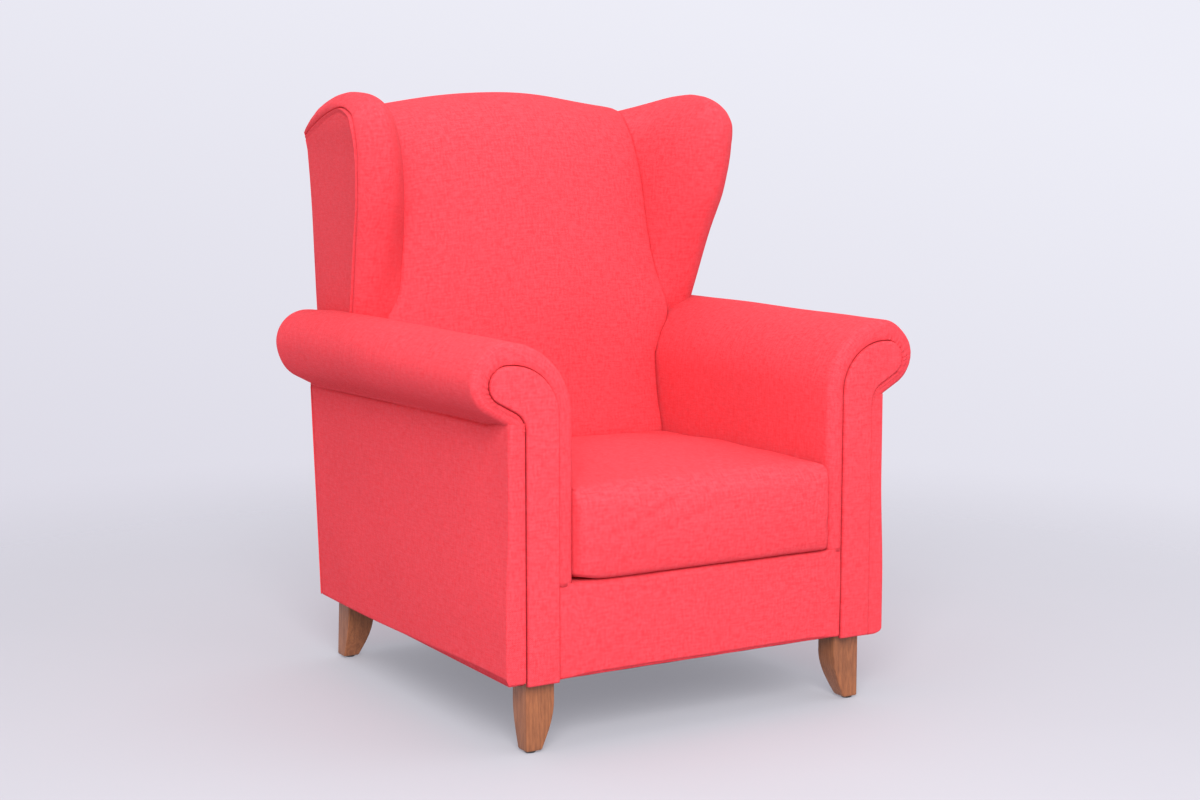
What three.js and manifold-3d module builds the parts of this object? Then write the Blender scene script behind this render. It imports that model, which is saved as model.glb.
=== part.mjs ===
// Fireside wing chair with scroll arms, a loose box cushion and four tapered wooden legs.
// Millimetres, +Z up. The sitter faces -Y and +X is on the right of a person who looks at the chair.
// The origin is on the floor under the middle of the chair.

import * as THREE from 'three';
import { mergeVertices } from 'three/addons/utils/BufferGeometryUtils.js';
import Module from 'manifold-3d';

const wasm = await Module();
wasm.setup();

const radians = THREE.MathUtils.degToRad;
const { lerp } = THREE.MathUtils;

// Overall size
const seatWidth = 490;
const armThickness = 107;
const seatDepth = 515;
const backDepth = 320;
const armTopHeight = 650;
const backHeight = 1035;
const wingHeight = 1031;
const legHeight = 115;
const rakeDegrees = 4.6;

// Clearance between pieces that touch, and the overrun of a cut past its piece
const gap = 0.3;
const overrun = 60;
const quarterTurn = 90;

// Scroll arm
const sweepRadius = 118;
const rollRadius = 58.5;
const undercutDegrees = 29;
const neckRadius = 6;
const armEdgeRadius = 14;
const armRearEdgeRadius = 28;
const armPadThickness = 14;
const armTopPadThickness = 19;
const armPanelThickness = 6;
const facingThickness = 11.7;
const facingSideMargin = 28.5;
const facingTopMargin = 35;
const facingOuterMargin = 22;
const facingHang = 2;
const facingNeckRadius = 35;
const facingEdgeRadius = 4;
const borderSetback = 6;
const outsideCornerRadius = 8;
const outsideArmLift = 2;

// Timber sections
const boardThickness = 22;
const railHeight = 100;
const sideRailThickness = 28;
const postWidth = 30;
const postDepth = 36;
const postBelowCrest = 135;
const rearRailThickness = 25;
const armRailWidth = 60;
const armRailSetback = 35;
const armRailBelowTop = 53;
const tackingRailHeight = 40;
const tackingRailLift = 68;
const crestRailDrop = 62;
const blockWidth = 90;
const blockHeight = 60;

// Leg, glide and hanger bolt
const legWidth = 48;
const legDepth = 40;
const legFootWidth = 23;
const legFrontSetback = 23;
const legRearSetback = 38;
const legSideSetback = 30;
const rearLegSplay = 9;
const legEasing = 2;
const glideHeight = 4;
const glideBevel = 1;
const glideRadius = 9;
const glidePinRadius = 1.6;
const glidePinLength = 12;
const boltRadius = 4;
const boltDepthInLeg = 35;
const boltEndAboveNut = 4;
const nutHeight = 6.5;
const nutRadius = 7.5;
const washerRadius = 10;
const washerThickness = 1.6;

// Springs and webbing
const springCount = 5;
const springPitch = 96;
const springWaves = 8;
const springHalfWidth = 21;
const springLoopSwell = 7;
const springRise = 26;
const springWireRadius = 1.9;
const springHeadroom = 2;
const webbingPitch = 130;
const webbingWidth = 50;
const webbingThickness = 2;
const webbingBottom = 345;
const webbingBelowRail = 50;
const webbingAboveRail = 8;
const webbingBelowPostTop = 115;

// Seat platform, front border and dust cover
const platformTop = 268;
const frontLipDepth = 54;
const frontLipThickness = 35;
const borderEdgeRadius = 12;
const borderBottom = 121;
const dustCoverThickness = 1.2;

// Loose cushion
const cushionWidth = 487;
const cushionFrontSetback = 1;
const cushionSideHeight = 146;
const cushionCrown = 26;
const cushionCornerRadius = 26;
const cushionInnerRadius = 6;
const cushionSeamRadius = 9;
const cushionDrawIn = 3;
const cushionEarSpread = 3;
const cushionCoverThickness = 5;
const zipLength = 400;
const zipHeight = 12;

// Inside back, crest and outside back
const outsideBackThickness = 4;
const outsideBackDrop = 50;
const crestSerpentineDrop = 40;
const crestHalfWave = 400;
const backLean = 219;
const backCrown = 18;

// Wing
const wingReach = 361;
const wingRearOuterX = 324;
const wingRearFlare = 9;
const wingRollFront = 38;
const wingRollRear = 5;
const wingRollDepth = 34;
const wingThicknessLow = 77;
const wingThicknessHigh = 115;
const wingSwellDepth = 110;
const wingBoardX = 306;
const wingBoardThickness = 22;
const wingBoardInset = 34;
const wingPanelThickness = 4;

// Places that follow from the sizes
const chairDepth = seatDepth + backDepth;
const frontY = -chairDepth / 2;
const rearTopY = chairDepth / 2;
const armInnerX = seatWidth / 2;
const armOuterX = armInnerX + armThickness;
const rollOuterX = armInnerX + sweepRadius + rollRadius;
const rakeSlope = Math.tan(radians(rakeDegrees));
const outsideBackTop = backHeight - outsideBackDrop;
const postTopHeight = backHeight - postBelowCrest;
const dustCoverBottom = legHeight + gap;
const railBottom = dustCoverBottom + dustCoverThickness + gap;
const railTop = railBottom + railHeight;
const frameFront = frontY + facingThickness + gap;
const frameFrontBack = frameFront + boardThickness;
const frameOuterX = armOuterX - armPanelThickness - gap;
const sideRailInnerX = frameOuterX - sideRailThickness;
const postOuterX = sideRailInnerX - gap;
const postInnerX = postOuterX - postWidth;
const stumpInnerX = armInnerX + armPadThickness + gap;
const facingInnerX = armInnerX + facingSideMargin;
const platformHalfWidth = armInnerX - gap;
const seatBackY = frontY + seatDepth;
const cushionBottom = platformTop + 2 * gap;
const seatTop = cushionBottom + cushionSideHeight;
const armRailTop = armTopHeight - armRailBelowTop;
const armRailBottom = armRailTop - boardThickness;
const armRailInnerX = armInnerX + armRailSetback;

// Distances forward of the raked outside face of the back
const panelDepth = outsideBackThickness + gap;
const postFrontDepth = panelDepth + postDepth;
const webbingDepth = postFrontDepth + gap;
const padRearDepth = webbingDepth + webbingThickness + gap;

// The outside face of the back leans to the rear as it rises.
const rearPlaneY = (z) => rearTopY - (outsideBackTop - z) * rakeSlope;

// Finishes
const fabric = new THREE.MeshStandardMaterial({ color: 0xf04a58, roughness: 0.95, metalness: 0 });
const lining = new THREE.MeshStandardMaterial({ color: 0x1c1b1d, roughness: 0.95, metalness: 0 });
const foam = new THREE.MeshStandardMaterial({ color: 0xe9e2c8, roughness: 0.9, metalness: 0 });
const legWood = new THREE.MeshStandardMaterial({ color: 0x8f5f3b, roughness: 0.4, metalness: 0 });
const frameWood = new THREE.MeshStandardMaterial({ color: 0xc79f6c, roughness: 0.75, metalness: 0 });
const springWire = new THREE.MeshStandardMaterial({ color: 0x6f7276, roughness: 0.4, metalness: 0.9 });
const boltSteel = new THREE.MeshStandardMaterial({ color: 0x9c9ea0, roughness: 0.35, metalness: 0.9 });
const glidePlastic = new THREE.MeshStandardMaterial({ color: 0x2a2522, roughness: 0.5, metalness: 0 });
const webbingCloth = new THREE.MeshStandardMaterial({ color: 0x8a7a58, roughness: 0.9, metalness: 0 });
const zipTape = new THREE.MeshStandardMaterial({ color: 0xb93443, roughness: 0.6, metalness: 0 });

// Solids

/** Turns closed three.js geometry into a solid for joining and cutting, and leaves a solid as it is. */
function toSolid(geometry) {
  if (!geometry.isBufferGeometry) {
    return geometry;
  }
  const bare = geometry.clone();
  bare.deleteAttribute('normal');
  bare.deleteAttribute('uv');
  const merged = mergeVertices(bare, 1e-4);
  const mesh = new wasm.Mesh({
    numProp: 3,
    vertProperties: new Float32Array(merged.attributes.position.array),
    triVerts: new Uint32Array(merged.index.array),
  });
  return new wasm.Manifold(mesh);
}

/** Turns a solid back into three.js geometry. */
function toGeometry(solid) {
  const mesh = solid.getMesh();
  const geometry = new THREE.BufferGeometry();
  geometry.setAttribute('position', new THREE.BufferAttribute(new Float32Array(mesh.vertProperties), 3));
  geometry.setIndex(new THREE.BufferAttribute(new Uint32Array(mesh.triVerts), 1));
  geometry.computeVertexNormals();
  return geometry;
}

/** Takes every cutter away from a body. */
function cut(body, ...cutters) {
  return cutters.reduce((solid, cutter) => solid.subtract(toSolid(cutter)), toSolid(body));
}

/** Reverses the winding of a geometry whose faces point in. */
function facingOut(geometry) {
  const p = geometry.attributes.position;
  const index = geometry.index.array;
  const [a, b, c] = [new THREE.Vector3(), new THREE.Vector3(), new THREE.Vector3()];
  let volume = 0;
  for (let i = 0; i < index.length; i += 3) {
    a.fromBufferAttribute(p, index[i]);
    b.fromBufferAttribute(p, index[i + 1]);
    c.fromBufferAttribute(p, index[i + 2]);
    volume += a.dot(b.cross(c));
  }
  if (volume < 0) {
    for (let i = 0; i < index.length; i += 3) {
      [index[i + 1], index[i + 2]] = [index[i + 2], index[i + 1]];
    }
  }
  return geometry;
}

/** Mirrors a geometry to the other side of the chair. */
function mirrored(geometry) {
  const copy = geometry.clone();
  const p = copy.attributes.position;
  for (let i = 0; i < p.count; i += 1) {
    p.setX(i, -p.getX(i));
  }
  return facingOut(copy);
}

/** Skins rings of equally many points; flat is an outline like the end rings that lies in one plane. */
function loft(rings, flat) {
  const count = flat.length;
  const last = (rings.length - 1) * count;
  const positions = rings.flat().flatMap((point) => point.toArray());
  const index = [];
  for (let ring = 0; ring < rings.length - 1; ring += 1) {
    for (let i = 0; i < count; i += 1) {
      const a = ring * count + i;
      const b = ring * count + ((i + 1) % count);
      index.push(a, b, b + count, a, b + count, a + count);
    }
  }
  const clockwise = THREE.ShapeUtils.isClockWise(flat);
  for (const [a, b, c] of THREE.ShapeUtils.triangulateShape(flat, [])) {
    const [p, q] = clockwise ? [c, b] : [b, c];
    index.push(a, q, p, last + a, last + p, last + q);
  }
  const geometry = new THREE.BufferGeometry();
  geometry.setAttribute('position', new THREE.Float32BufferAttribute(positions, 3));
  geometry.setIndex(index);
  return facingOut(geometry);
}

/** Skins rings that close to a single point at each end. */
function loftToPoints(first, rings, last) {
  const count = rings[0].length;
  const positions = [first, ...rings.flat(), last].flatMap((point) => point.toArray());
  const end = rings.length * count + 1;
  const index = [];
  for (let i = 0; i < count; i += 1) {
    const next = (i + 1) % count;
    index.push(0, 1 + next, 1 + i);
    for (let ring = 0; ring < rings.length - 1; ring += 1) {
      const a = 1 + ring * count + i;
      const b = 1 + ring * count + next;
      index.push(a, b, b + count, a, b + count, a + count);
    }
    index.push(end, end - count + i, end - count + next);
  }
  const geometry = new THREE.BufferGeometry();
  geometry.setAttribute('position', new THREE.Float32BufferAttribute(positions, 3));
  geometry.setIndex(index);
  return facingOut(geometry);
}

/** A box between two opposite corners. */
function box(x0, x1, y0, y1, z0, z1) {
  const geometry = new THREE.BoxGeometry(x1 - x0, y1 - y0, z1 - z0);
  return geometry.translate((x0 + x1) / 2, (y0 + y1) / 2, (z0 + z1) / 2);
}

/** An outline drawn in side view, as (y, z), extruded from x0 to x1. */
function sideExtrusion(points, x0, x1) {
  const geometry = new THREE.ExtrudeGeometry(new THREE.Shape(points), { depth: x1 - x0, bevelEnabled: false });
  const turn = new THREE.Matrix4().makeBasis(
    new THREE.Vector3(0, 1, 0), new THREE.Vector3(0, 0, 1), new THREE.Vector3(1, 0, 0));
  return geometry.applyMatrix4(turn).translate(x0, 0, 0);
}

/** An outline drawn in front view, as (x, z), extruded from y0 to y1. */
function frontExtrusion(points, y0, y1) {
  const geometry = new THREE.ExtrudeGeometry(new THREE.Shape(points), { depth: y1 - y0, bevelEnabled: false });
  return geometry.rotateX(Math.PI / 2).translate(0, y1, 0);
}

/** An outline drawn in plan, as (x, y), extruded from z0 to z1. */
function planExtrusion(points, z0, z1) {
  const geometry = new THREE.ExtrudeGeometry(new THREE.Shape(points), { depth: z1 - z0, bevelEnabled: false });
  return geometry.translate(0, 0, z0);
}

/** Leans a geometry whose y is measured from the outside face of the back. */
function raked(geometry) {
  const p = geometry.attributes.position;
  for (let i = 0; i < p.count; i += 1) {
    p.setY(i, p.getY(i) + rearPlaneY(p.getZ(i)));
  }
  return geometry;
}

/** A raked board from depth d0 to depth d1 in front of the outside face of the back. */
function rakedBoard(x0, x1, d0, d1, z0, z1) {
  return raked(box(x0, x1, -d1, -d0, z0, z1));
}

/** Points on an arc, both ends included. */
function arc(cx, cy, radius, fromDegrees, toDegrees, steps) {
  return Array.from({ length: steps + 1 }, (unused, i) => {
    const angle = radians(lerp(fromDegrees, toDegrees, i / steps));
    return new THREE.Vector2(cx + radius * Math.cos(angle), cy + radius * Math.sin(angle));
  });
}

// Scroll arm, right side

const sweepSteps = 9;
const rollSteps = 10;
const neckSteps = 4;

/** The arm's front outline, as (x, z), drawn in from the cover's outside by the three margins. */
function scrollOutline({ side, top, outer, neck, bottom }) {
  const sweep = sweepRadius - top;
  const roll = rollRadius - side;
  const topZ = armTopHeight - top;
  const innerX = armInnerX + side;
  const outerX = armOuterX - outer;
  const rollX = rollOuterX - side - roll;
  const under = radians(undercutDegrees);
  const leave = new THREE.Vector2(rollX + roll * Math.sin(under), topZ - roll - roll * Math.cos(under));
  const cornerZ = leave.y - (leave.x - outerX) * Math.tan(under);
  const tangent = neck * Math.tan((Math.PI / 2 - under) / 2);
  return [
    new THREE.Vector2(innerX, bottom),
    ...arc(innerX + sweep, topZ - sweep, sweep, 180, 90, sweepSteps),
    ...arc(rollX, topZ - roll, roll, 90, undercutDegrees - 90, rollSteps),
    ...arc(outerX + neck, cornerZ - tangent, neck, 90 + undercutDegrees, 180, neckSteps),
    new THREE.Vector2(outerX, bottom),
  ];
}

const coverBottom = platformTop - boardThickness;
const underRollZ = (() => {
  const outline = scrollOutline({ side: 0, top: 0, outer: 0, neck: neckRadius, bottom: coverBottom });
  return outline[outline.length - 2].y;
})();

/** The whole outside of the arm as one solid, grown by a clearance for cutting neighbours. */
function armBody(grow) {
  const steps = 4;
  const ring = (inset, place) => scrollOutline({
    side: inset - grow,
    top: inset - grow,
    outer: inset - grow,
    neck: neckRadius + inset,
    bottom: coverBottom - grow,
  }).map((point) => new THREE.Vector3(point.x, place(point.y), point.y));
  const round = (i, radius) => {
    const angle = (i / steps) * (Math.PI / 2);
    return { inset: radius * (1 - Math.sin(angle)), along: radius * (1 - Math.cos(angle)) - grow };
  };
  const rings = [];
  for (let i = 0; i <= steps; i += 1) {
    const { inset, along } = round(i, armEdgeRadius);
    rings.push(ring(inset, () => frontY + borderSetback + along));
  }
  for (let i = steps; i >= 0; i -= 1) {
    const { inset, along } = round(i, armRearEdgeRadius);
    rings.push(ring(inset, (z) => rearPlaneY(z) - panelDepth - along));
  }
  const flat = scrollOutline({ side: 0, top: 0, outer: 0, neck: neckRadius, bottom: coverBottom });
  return loft(rings, flat);
}

const stumpMargins = {
  side: armPadThickness + gap,
  top: armTopPadThickness,
  outer: armPanelThickness + gap,
  neck: (neckRadius + facingNeckRadius) / 2,
};

/** The front post of the arm, cut to the scroll. */
function armStump(grow) {
  const outline = scrollOutline({
    side: stumpMargins.side - grow,
    top: stumpMargins.top - grow,
    outer: stumpMargins.outer - grow,
    neck: stumpMargins.neck - grow,
    bottom: railBottom - grow,
  });
  return frontExtrusion(outline, frameFront - grow, frameFrontBack + grow);
}

/** The space behind the stump and under the arm rail. */
function armTunnel() {
  const outline = scrollOutline({ ...stumpMargins, bottom: coverBottom - overrun });
  const tunnel = frontExtrusion(outline, frameFront, rearPlaneY(railBottom) - armEdgeRadius);
  const above = box(0, rollOuterX + overrun, frontY, rearTopY, armRailBottom, armTopHeight + overrun);
  return cut(tunnel, above);
}

/** The board under the arm's roll, from the stump to the back post. */
function armRail(grow) {
  const y0 = frameFrontBack + gap - grow;
  const z0 = armRailBottom - grow;
  const z1 = armRailTop + grow;
  const end = (z) => rearPlaneY(z) - postFrontDepth - gap + grow;
  const points = [[y0, z0], [end(z0), z0], [end(z1), z1], [y0, z1]].map(([y, z]) => new THREE.Vector2(y, z));
  return sideExtrusion(points, armRailInnerX - grow, armRailInnerX + armRailWidth + grow);
}

const facingMargins = {
  side: facingSideMargin, top: facingTopMargin, outer: facingOuterMargin, neck: facingNeckRadius,
};
const facingBottom = legHeight - facingHang;

/** The padded scroll panel on the front of the arm. */
function armFacing() {
  const steps = 3;
  const ring = (inset, y) => scrollOutline({
    side: facingMargins.side + inset,
    top: facingMargins.top + inset,
    outer: facingMargins.outer + inset,
    neck: facingMargins.neck + inset,
    bottom: facingBottom + inset,
  }).map((point) => new THREE.Vector3(point.x, y, point.y));
  const rings = [];
  for (let i = 0; i <= steps; i += 1) {
    const angle = (i / steps) * (Math.PI / 2);
    const inset = facingEdgeRadius * (1 - Math.sin(angle));
    rings.push(ring(inset, frontY + facingEdgeRadius * (1 - Math.cos(angle))));
  }
  rings.push(ring(0, frontY + facingThickness));
  return loft(rings, scrollOutline({ ...facingMargins, bottom: facingBottom }));
}

/** The facing's outline as a cutter, deep enough to reach the stump. */
function facingHole() {
  const outline = scrollOutline({
    side: facingMargins.side - gap,
    top: facingMargins.top - gap,
    outer: facingMargins.outer - gap,
    neck: facingMargins.neck - gap,
    bottom: facingBottom - overrun,
  });
  return frontExtrusion(outline, frontY - overrun, frameFront + gap);
}

/** Padding and fabric of the inside arm and the roll, hollow round the frame. */
function armCover() {
  const rear = rearTopY + overrun;
  const belowRoll = box(stumpInnerX - gap, rollOuterX + overrun, frameFront - gap, rear,
    coverBottom - overrun, underRollZ - gap);
  const besideFacing = box(facingInnerX, rollOuterX + overrun, frontY - overrun, frameFront,
    coverBottom - overrun, underRollZ - gap);
  const underBorder = box(0, facingInnerX + gap, frontY - overrun, frontY + borderSetback + frontLipDepth + gap,
    coverBottom - overrun, platformTop + gap);
  return cut(armBody(0), armStump(gap), facingHole(), armTunnel(), armRail(gap), wingBoard(gap),
    besidePost(), belowRoll, besideFacing, underBorder);
}

/** The outside arm panel, returned round the front under the facing. */
function outsideArm() {
  const front = frontY + borderSetback;
  const back = frameFront - gap;
  const inner = armOuterX - armPanelThickness;
  const returnX = armOuterX - facingOuterMargin + gap;
  const r = outsideCornerRadius;
  const outline = [
    new THREE.Vector2(armOuterX, rearTopY),
    new THREE.Vector2(inner, rearTopY),
    new THREE.Vector2(inner, back),
    new THREE.Vector2(returnX, back),
    new THREE.Vector2(returnX, front),
    ...arc(armOuterX - r, front + r, r, -90, 0, 5),
  ];
  const panel = planExtrusion(outline, legHeight + outsideArmLift, underRollZ - 2 * gap);
  return cut(panel, facingHole(), behindPanel());
}

/** Everything behind the inner face of the outside back, as a cutter. */
function behindPanel() {
  const half = rollOuterX + overrun;
  return rakedBoard(-half, half, -chairDepth, panelDepth, 0, backHeight + overrun);
}

// Frame

/** The raked rear post, right side. */
function post() {
  return rakedBoard(postInnerX, postOuterX, panelDepth, postFrontDepth, railBottom, postTopHeight);
}

/** The space of the posts and the webbing between them, as a cutter for the padding. */
function besidePost() {
  return rakedBoard(-postOuterX - gap, postOuterX + gap, -overrun, padRearDepth, 0, postTopHeight + gap);
}

/** The rail behind the cushion that the inside back is tacked to. */
function tackingRail() {
  const bottom = railTop + tackingRailLift;
  return rakedBoard(-postInnerX + gap, postInnerX - gap, panelDepth, panelDepth + rearRailThickness,
    bottom, bottom + tackingRailHeight);
}

/** The long rail at the bottom of the arm, which laps the outside of the post. */
function sideRail() {
  const end = (z) => rearPlaneY(z) - panelDepth;
  const y0 = frameFrontBack + gap;
  const points = [[y0, railBottom], [end(railBottom), railBottom], [end(railTop), railTop], [y0, railTop]];
  return sideExtrusion(points.map(([y, z]) => new THREE.Vector2(y, z)), sideRailInnerX, frameOuterX);
}

/** The height of the crest at a distance from the middle. */
function crestZ(x) {
  const share = Math.min(Math.abs(x) / crestHalfWave, 1);
  return backHeight - crestSerpentineDrop * (1 - Math.cos(Math.PI * share)) / 2;
}

/** An outline between two half widths whose top follows the crest, lowered by drop. */
function crestOutline(halfWidth, bottom, drop, lower = []) {
  const steps = 16;
  const top = Array.from({ length: steps + 1 }, (unused, i) => {
    const x = lerp(halfWidth, -halfWidth, i / steps);
    return new THREE.Vector2(x, crestZ(x) - drop);
  });
  const left = lower.map((point) => new THREE.Vector2(-point.x, point.y)).reverse();
  const feet = lower.length ? [] : [new THREE.Vector2(-halfWidth, bottom), new THREE.Vector2(halfWidth, bottom)];
  return [...lower, ...top, ...left, ...feet];
}

/** The shaped rail across the tops of the posts. */
function crestRail(grow) {
  const outline = crestOutline(postOuterX + grow, postTopHeight + gap - grow, crestRailDrop - grow);
  return raked(frontExtrusion(outline, -panelDepth - rearRailThickness - grow, -panelDepth + grow));
}

/** The triangular block in a corner of the seat frame, whose way is its direction in y. */
function blockOutline(cornerX, cornerY, way) {
  return [
    new THREE.Vector2(cornerX, cornerY),
    new THREE.Vector2(cornerX, cornerY + way * blockWidth),
    new THREE.Vector2(cornerX - legEasing, cornerY + way * blockWidth),
    new THREE.Vector2(cornerX - blockWidth, cornerY + way * legEasing),
    new THREE.Vector2(cornerX - blockWidth, cornerY),
  ];
}

const blockCornerX = sideRailInnerX - gap;
const frontBoltY = frameFrontBack + gap + (washerRadius + gap);
const rearBoltY = rearPlaneY(railBottom + blockHeight) - postFrontDepth - rearRailThickness;
const boltX = armOuterX - legSideSetback - legWidth / 2;
const boltFacets = 12;
const washerFacets = 18;
const nutFacets = 6;

function boltHole(x, y) {
  const height = blockHeight + legHeight + overrun;
  return new THREE.CylinderGeometry(boltRadius + gap, boltRadius + gap, height, boltFacets)
    .rotateX(Math.PI / 2).translate(x, y, legHeight - boltDepthInLeg - gap + height / 2);
}

function frontBlock() {
  const outline = blockOutline(blockCornerX, frameFrontBack + gap, 1);
  const block = planExtrusion(outline, railBottom, railBottom + blockHeight);
  return cut(block, boltHole(boltX, frontBoltY));
}

function rearBlock() {
  const outline = blockOutline(blockCornerX, -postFrontDepth - gap, -1);
  const block = raked(planExtrusion(outline, railBottom, railBottom + blockHeight));
  return cut(block, boltHole(boltX, rearBoltY));
}

/** The hanger bolt from the leg through the block, with its washer and nut. */
function hangerBolt(x, y) {
  const bottom = legHeight - boltDepthInLeg;
  const seat = railBottom + blockHeight + gap;
  const top = seat + washerThickness + nutHeight + boltEndAboveNut;
  const shank = new THREE.CylinderGeometry(boltRadius, boltRadius, top - bottom, boltFacets)
    .rotateX(Math.PI / 2).translate(x, y, (top + bottom) / 2);
  const washer = new THREE.CylinderGeometry(washerRadius, washerRadius, washerThickness, washerFacets)
    .rotateX(Math.PI / 2).translate(x, y, seat + washerThickness / 2);
  const nutBottom = seat + washerThickness / 2;
  const nutTop = seat + washerThickness + nutHeight;
  const nut = new THREE.CylinderGeometry(nutRadius, nutRadius, nutTop - nutBottom, nutFacets)
    .rotateX(Math.PI / 2).translate(x, y, (nutTop + nutBottom) / 2);
  return toSolid(shank).add(toSolid(washer)).add(toSolid(nut));
}

// Legs

const glideFacets = 20;
const pinFacets = 8;
const legTaperStartShare = 0.3;
const legRingShares = [0, 0.3, 0.44, 0.58, 0.72, 0.86, 1];

/** A leg whose two outer faces are straight and whose two inner faces sweep in to the foot. */
function leg(outerX, outerY, way, splay, boltAtX, boltAtY) {
  const foot = glideHeight + gap;
  const rings = legRingShares.map((share) => {
    const bend = Math.max(0, (share - legTaperStartShare) / (1 - legTaperStartShare));
    const slim = 1 - Math.cos(bend * Math.PI / 2);
    const width = lerp(legWidth, legFootWidth, slim);
    const depth = lerp(legDepth, legFootWidth, slim);
    const y0 = outerY - way * splay * share;
    const z = lerp(legHeight, foot, share);
    const e = legEasing;
    return [
      [-e, 0], [-width + e, 0], [-width, e], [-width, depth - e],
      [-width + e, depth], [-e, depth], [0, depth - e], [0, e],
    ].map(([dx, dy]) => new THREE.Vector3(outerX + dx, y0 + way * dy, z));
  });
  const flat = rings[0].map((point) => new THREE.Vector2(point.x, point.y));
  const bolt = boltHole(boltAtX, boltAtY);
  const centre = footCentre(outerX, outerY, way, splay);
  const pinHole = glidePinRadius + gap;
  const pin = new THREE.CylinderGeometry(pinHole, pinHole, 2 * (glidePinLength + gap), pinFacets)
    .rotateX(Math.PI / 2).translate(centre.x, centre.y, foot);
  return cut(loft(rings, flat), bolt, pin);
}

function footCentre(outerX, outerY, way, splay) {
  return new THREE.Vector2(outerX - legFootWidth / 2, outerY - way * splay + way * legFootWidth / 2);
}

/** A nail-on glide, turned about the middle of the foot. */
function glide(outerX, outerY, way, splay) {
  const centre = footCentre(outerX, outerY, way, splay);
  const profile = [
    [0, 0], [glideRadius - glideBevel, 0], [glideRadius, glideBevel], [glideRadius, glideHeight],
    [glidePinRadius, glideHeight], [glidePinRadius, glideHeight + glidePinLength - glidePinRadius],
    [0, glideHeight + glidePinLength],
  ].map(([x, y]) => new THREE.Vector2(x, y));
  return toSolid(new THREE.LatheGeometry(profile, glideFacets).rotateX(Math.PI / 2).translate(centre.x, centre.y, 0));
}

const legOuterX = armOuterX - legSideSetback;
const frontLegY = frontY + legFrontSetback;
const rearLegY = rearPlaneY(legHeight) - legRearSetback;

// Seat suspension

/** The centreline of one sinuous spring, a wave that arches from the front rail to the rear rail. */
class SpringLine extends THREE.Curve {
  constructor(x) {
    super();
    this.x = x;
    this.y0 = frameFront + boardThickness / 2;
    this.y1 = rearPlaneY(railTop) - panelDepth - rearRailThickness / 2;
  }

  getPoint(t, target = new THREE.Vector3()) {
    const phase = 2 * Math.PI * springWaves * t;
    const swell = springLoopSwell * Math.sin(2 * phase) * Math.min(1, springWaves * t, springWaves * (1 - t));
    return target.set(
      this.x + springHalfWidth * Math.sin(phase),
      lerp(this.y0, this.y1, t) - swell,
      springHeight(t));
  }
}

const springFootZ = railTop + gap + springWireRadius;
const springStepsPerWave = 8;
const springSides = 5;

function springHeight(t) {
  return springFootZ + springRise * 4 * t * (1 - t);
}

function seatSpring(number) {
  const line = new SpringLine((number - (springCount - 1) / 2) * springPitch);
  const lastDegrees = 360 * (1 - 1 / springSides);
  const section = new THREE.Shape(arc(0, 0, springWireRadius, 0, lastDegrees, springSides - 1));
  const settings = { steps: springWaves * springStepsPerWave, extrudePath: line, bevelEnabled: false };
  return toSolid(new THREE.ExtrudeGeometry(section, settings));
}

/** The padded platform on the springs, hollow underneath where the springs arch. */
function seatPlatform() {
  const line = new SpringLine(0);
  const y0 = frontY + borderSetback + frontLipDepth + gap;
  const y1 = rearPlaneY(railTop) - panelDepth - rearRailThickness - gap;
  const steps = 10;
  const under = Array.from({ length: steps + 1 }, (unused, i) => {
    const y = lerp(y1, y0, i / steps);
    const t = (y - line.y0) / (line.y1 - line.y0);
    return new THREE.Vector2(y, springHeight(t) + springHeadroom + springWireRadius);
  });
  const points = [new THREE.Vector2(y0, platformTop), new THREE.Vector2(y1, platformTop), ...under];
  return toSolid(sideExtrusion(points, -platformHalfWidth, platformHalfWidth));
}

/** The upholstered front rail: a thin front with a thick lip over the ends of the springs. */
function frontBorder() {
  const front = frontY + borderSetback;
  const back = frameFront - gap;
  const lipBack = front + frontLipDepth;
  const lipBottom = platformTop - frontLipThickness;
  const r = borderEdgeRadius;
  const points = [
    new THREE.Vector2(back, borderBottom),
    new THREE.Vector2(back, lipBottom),
    new THREE.Vector2(lipBack, lipBottom),
    new THREE.Vector2(lipBack, platformTop),
    ...arc(front + r, platformTop - r, r, 90, 180, 5),
    new THREE.Vector2(front, borderBottom),
  ];
  const half = facingInnerX - gap;
  const besideStump = (side) => box(
    side > 0 ? platformHalfWidth : -facingInnerX - overrun,
    side > 0 ? facingInnerX + overrun : -platformHalfWidth,
    frameFront - gap, frontY + chairDepth, borderBottom - overrun, platformTop + overrun);
  return cut(sideExtrusion(points, -half, half), besideStump(1), besideStump(-1));
}

// Loose cushion

const cornerSteps = 3;
const sideSteps = 4;
const cushionY0 = frontY + cushionFrontSetback;
const cushionY1 = seatBackY - gap;
const cushionMidY = (cushionY0 + cushionY1) / 2;
const cushionHalfWidth = cushionWidth / 2;
const cushionHalfDepth = (cushionY1 - cushionY0) / 2;

// The corners of a cushion in plan, counter-clockwise: the signs of x and y, and the start of the arc.
const cushionCorners = [[1, -1, -quarterTurn], [1, 1, 0], [-1, 1, quarterTurn], [-1, -1, 2 * quarterTurn]];

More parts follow.
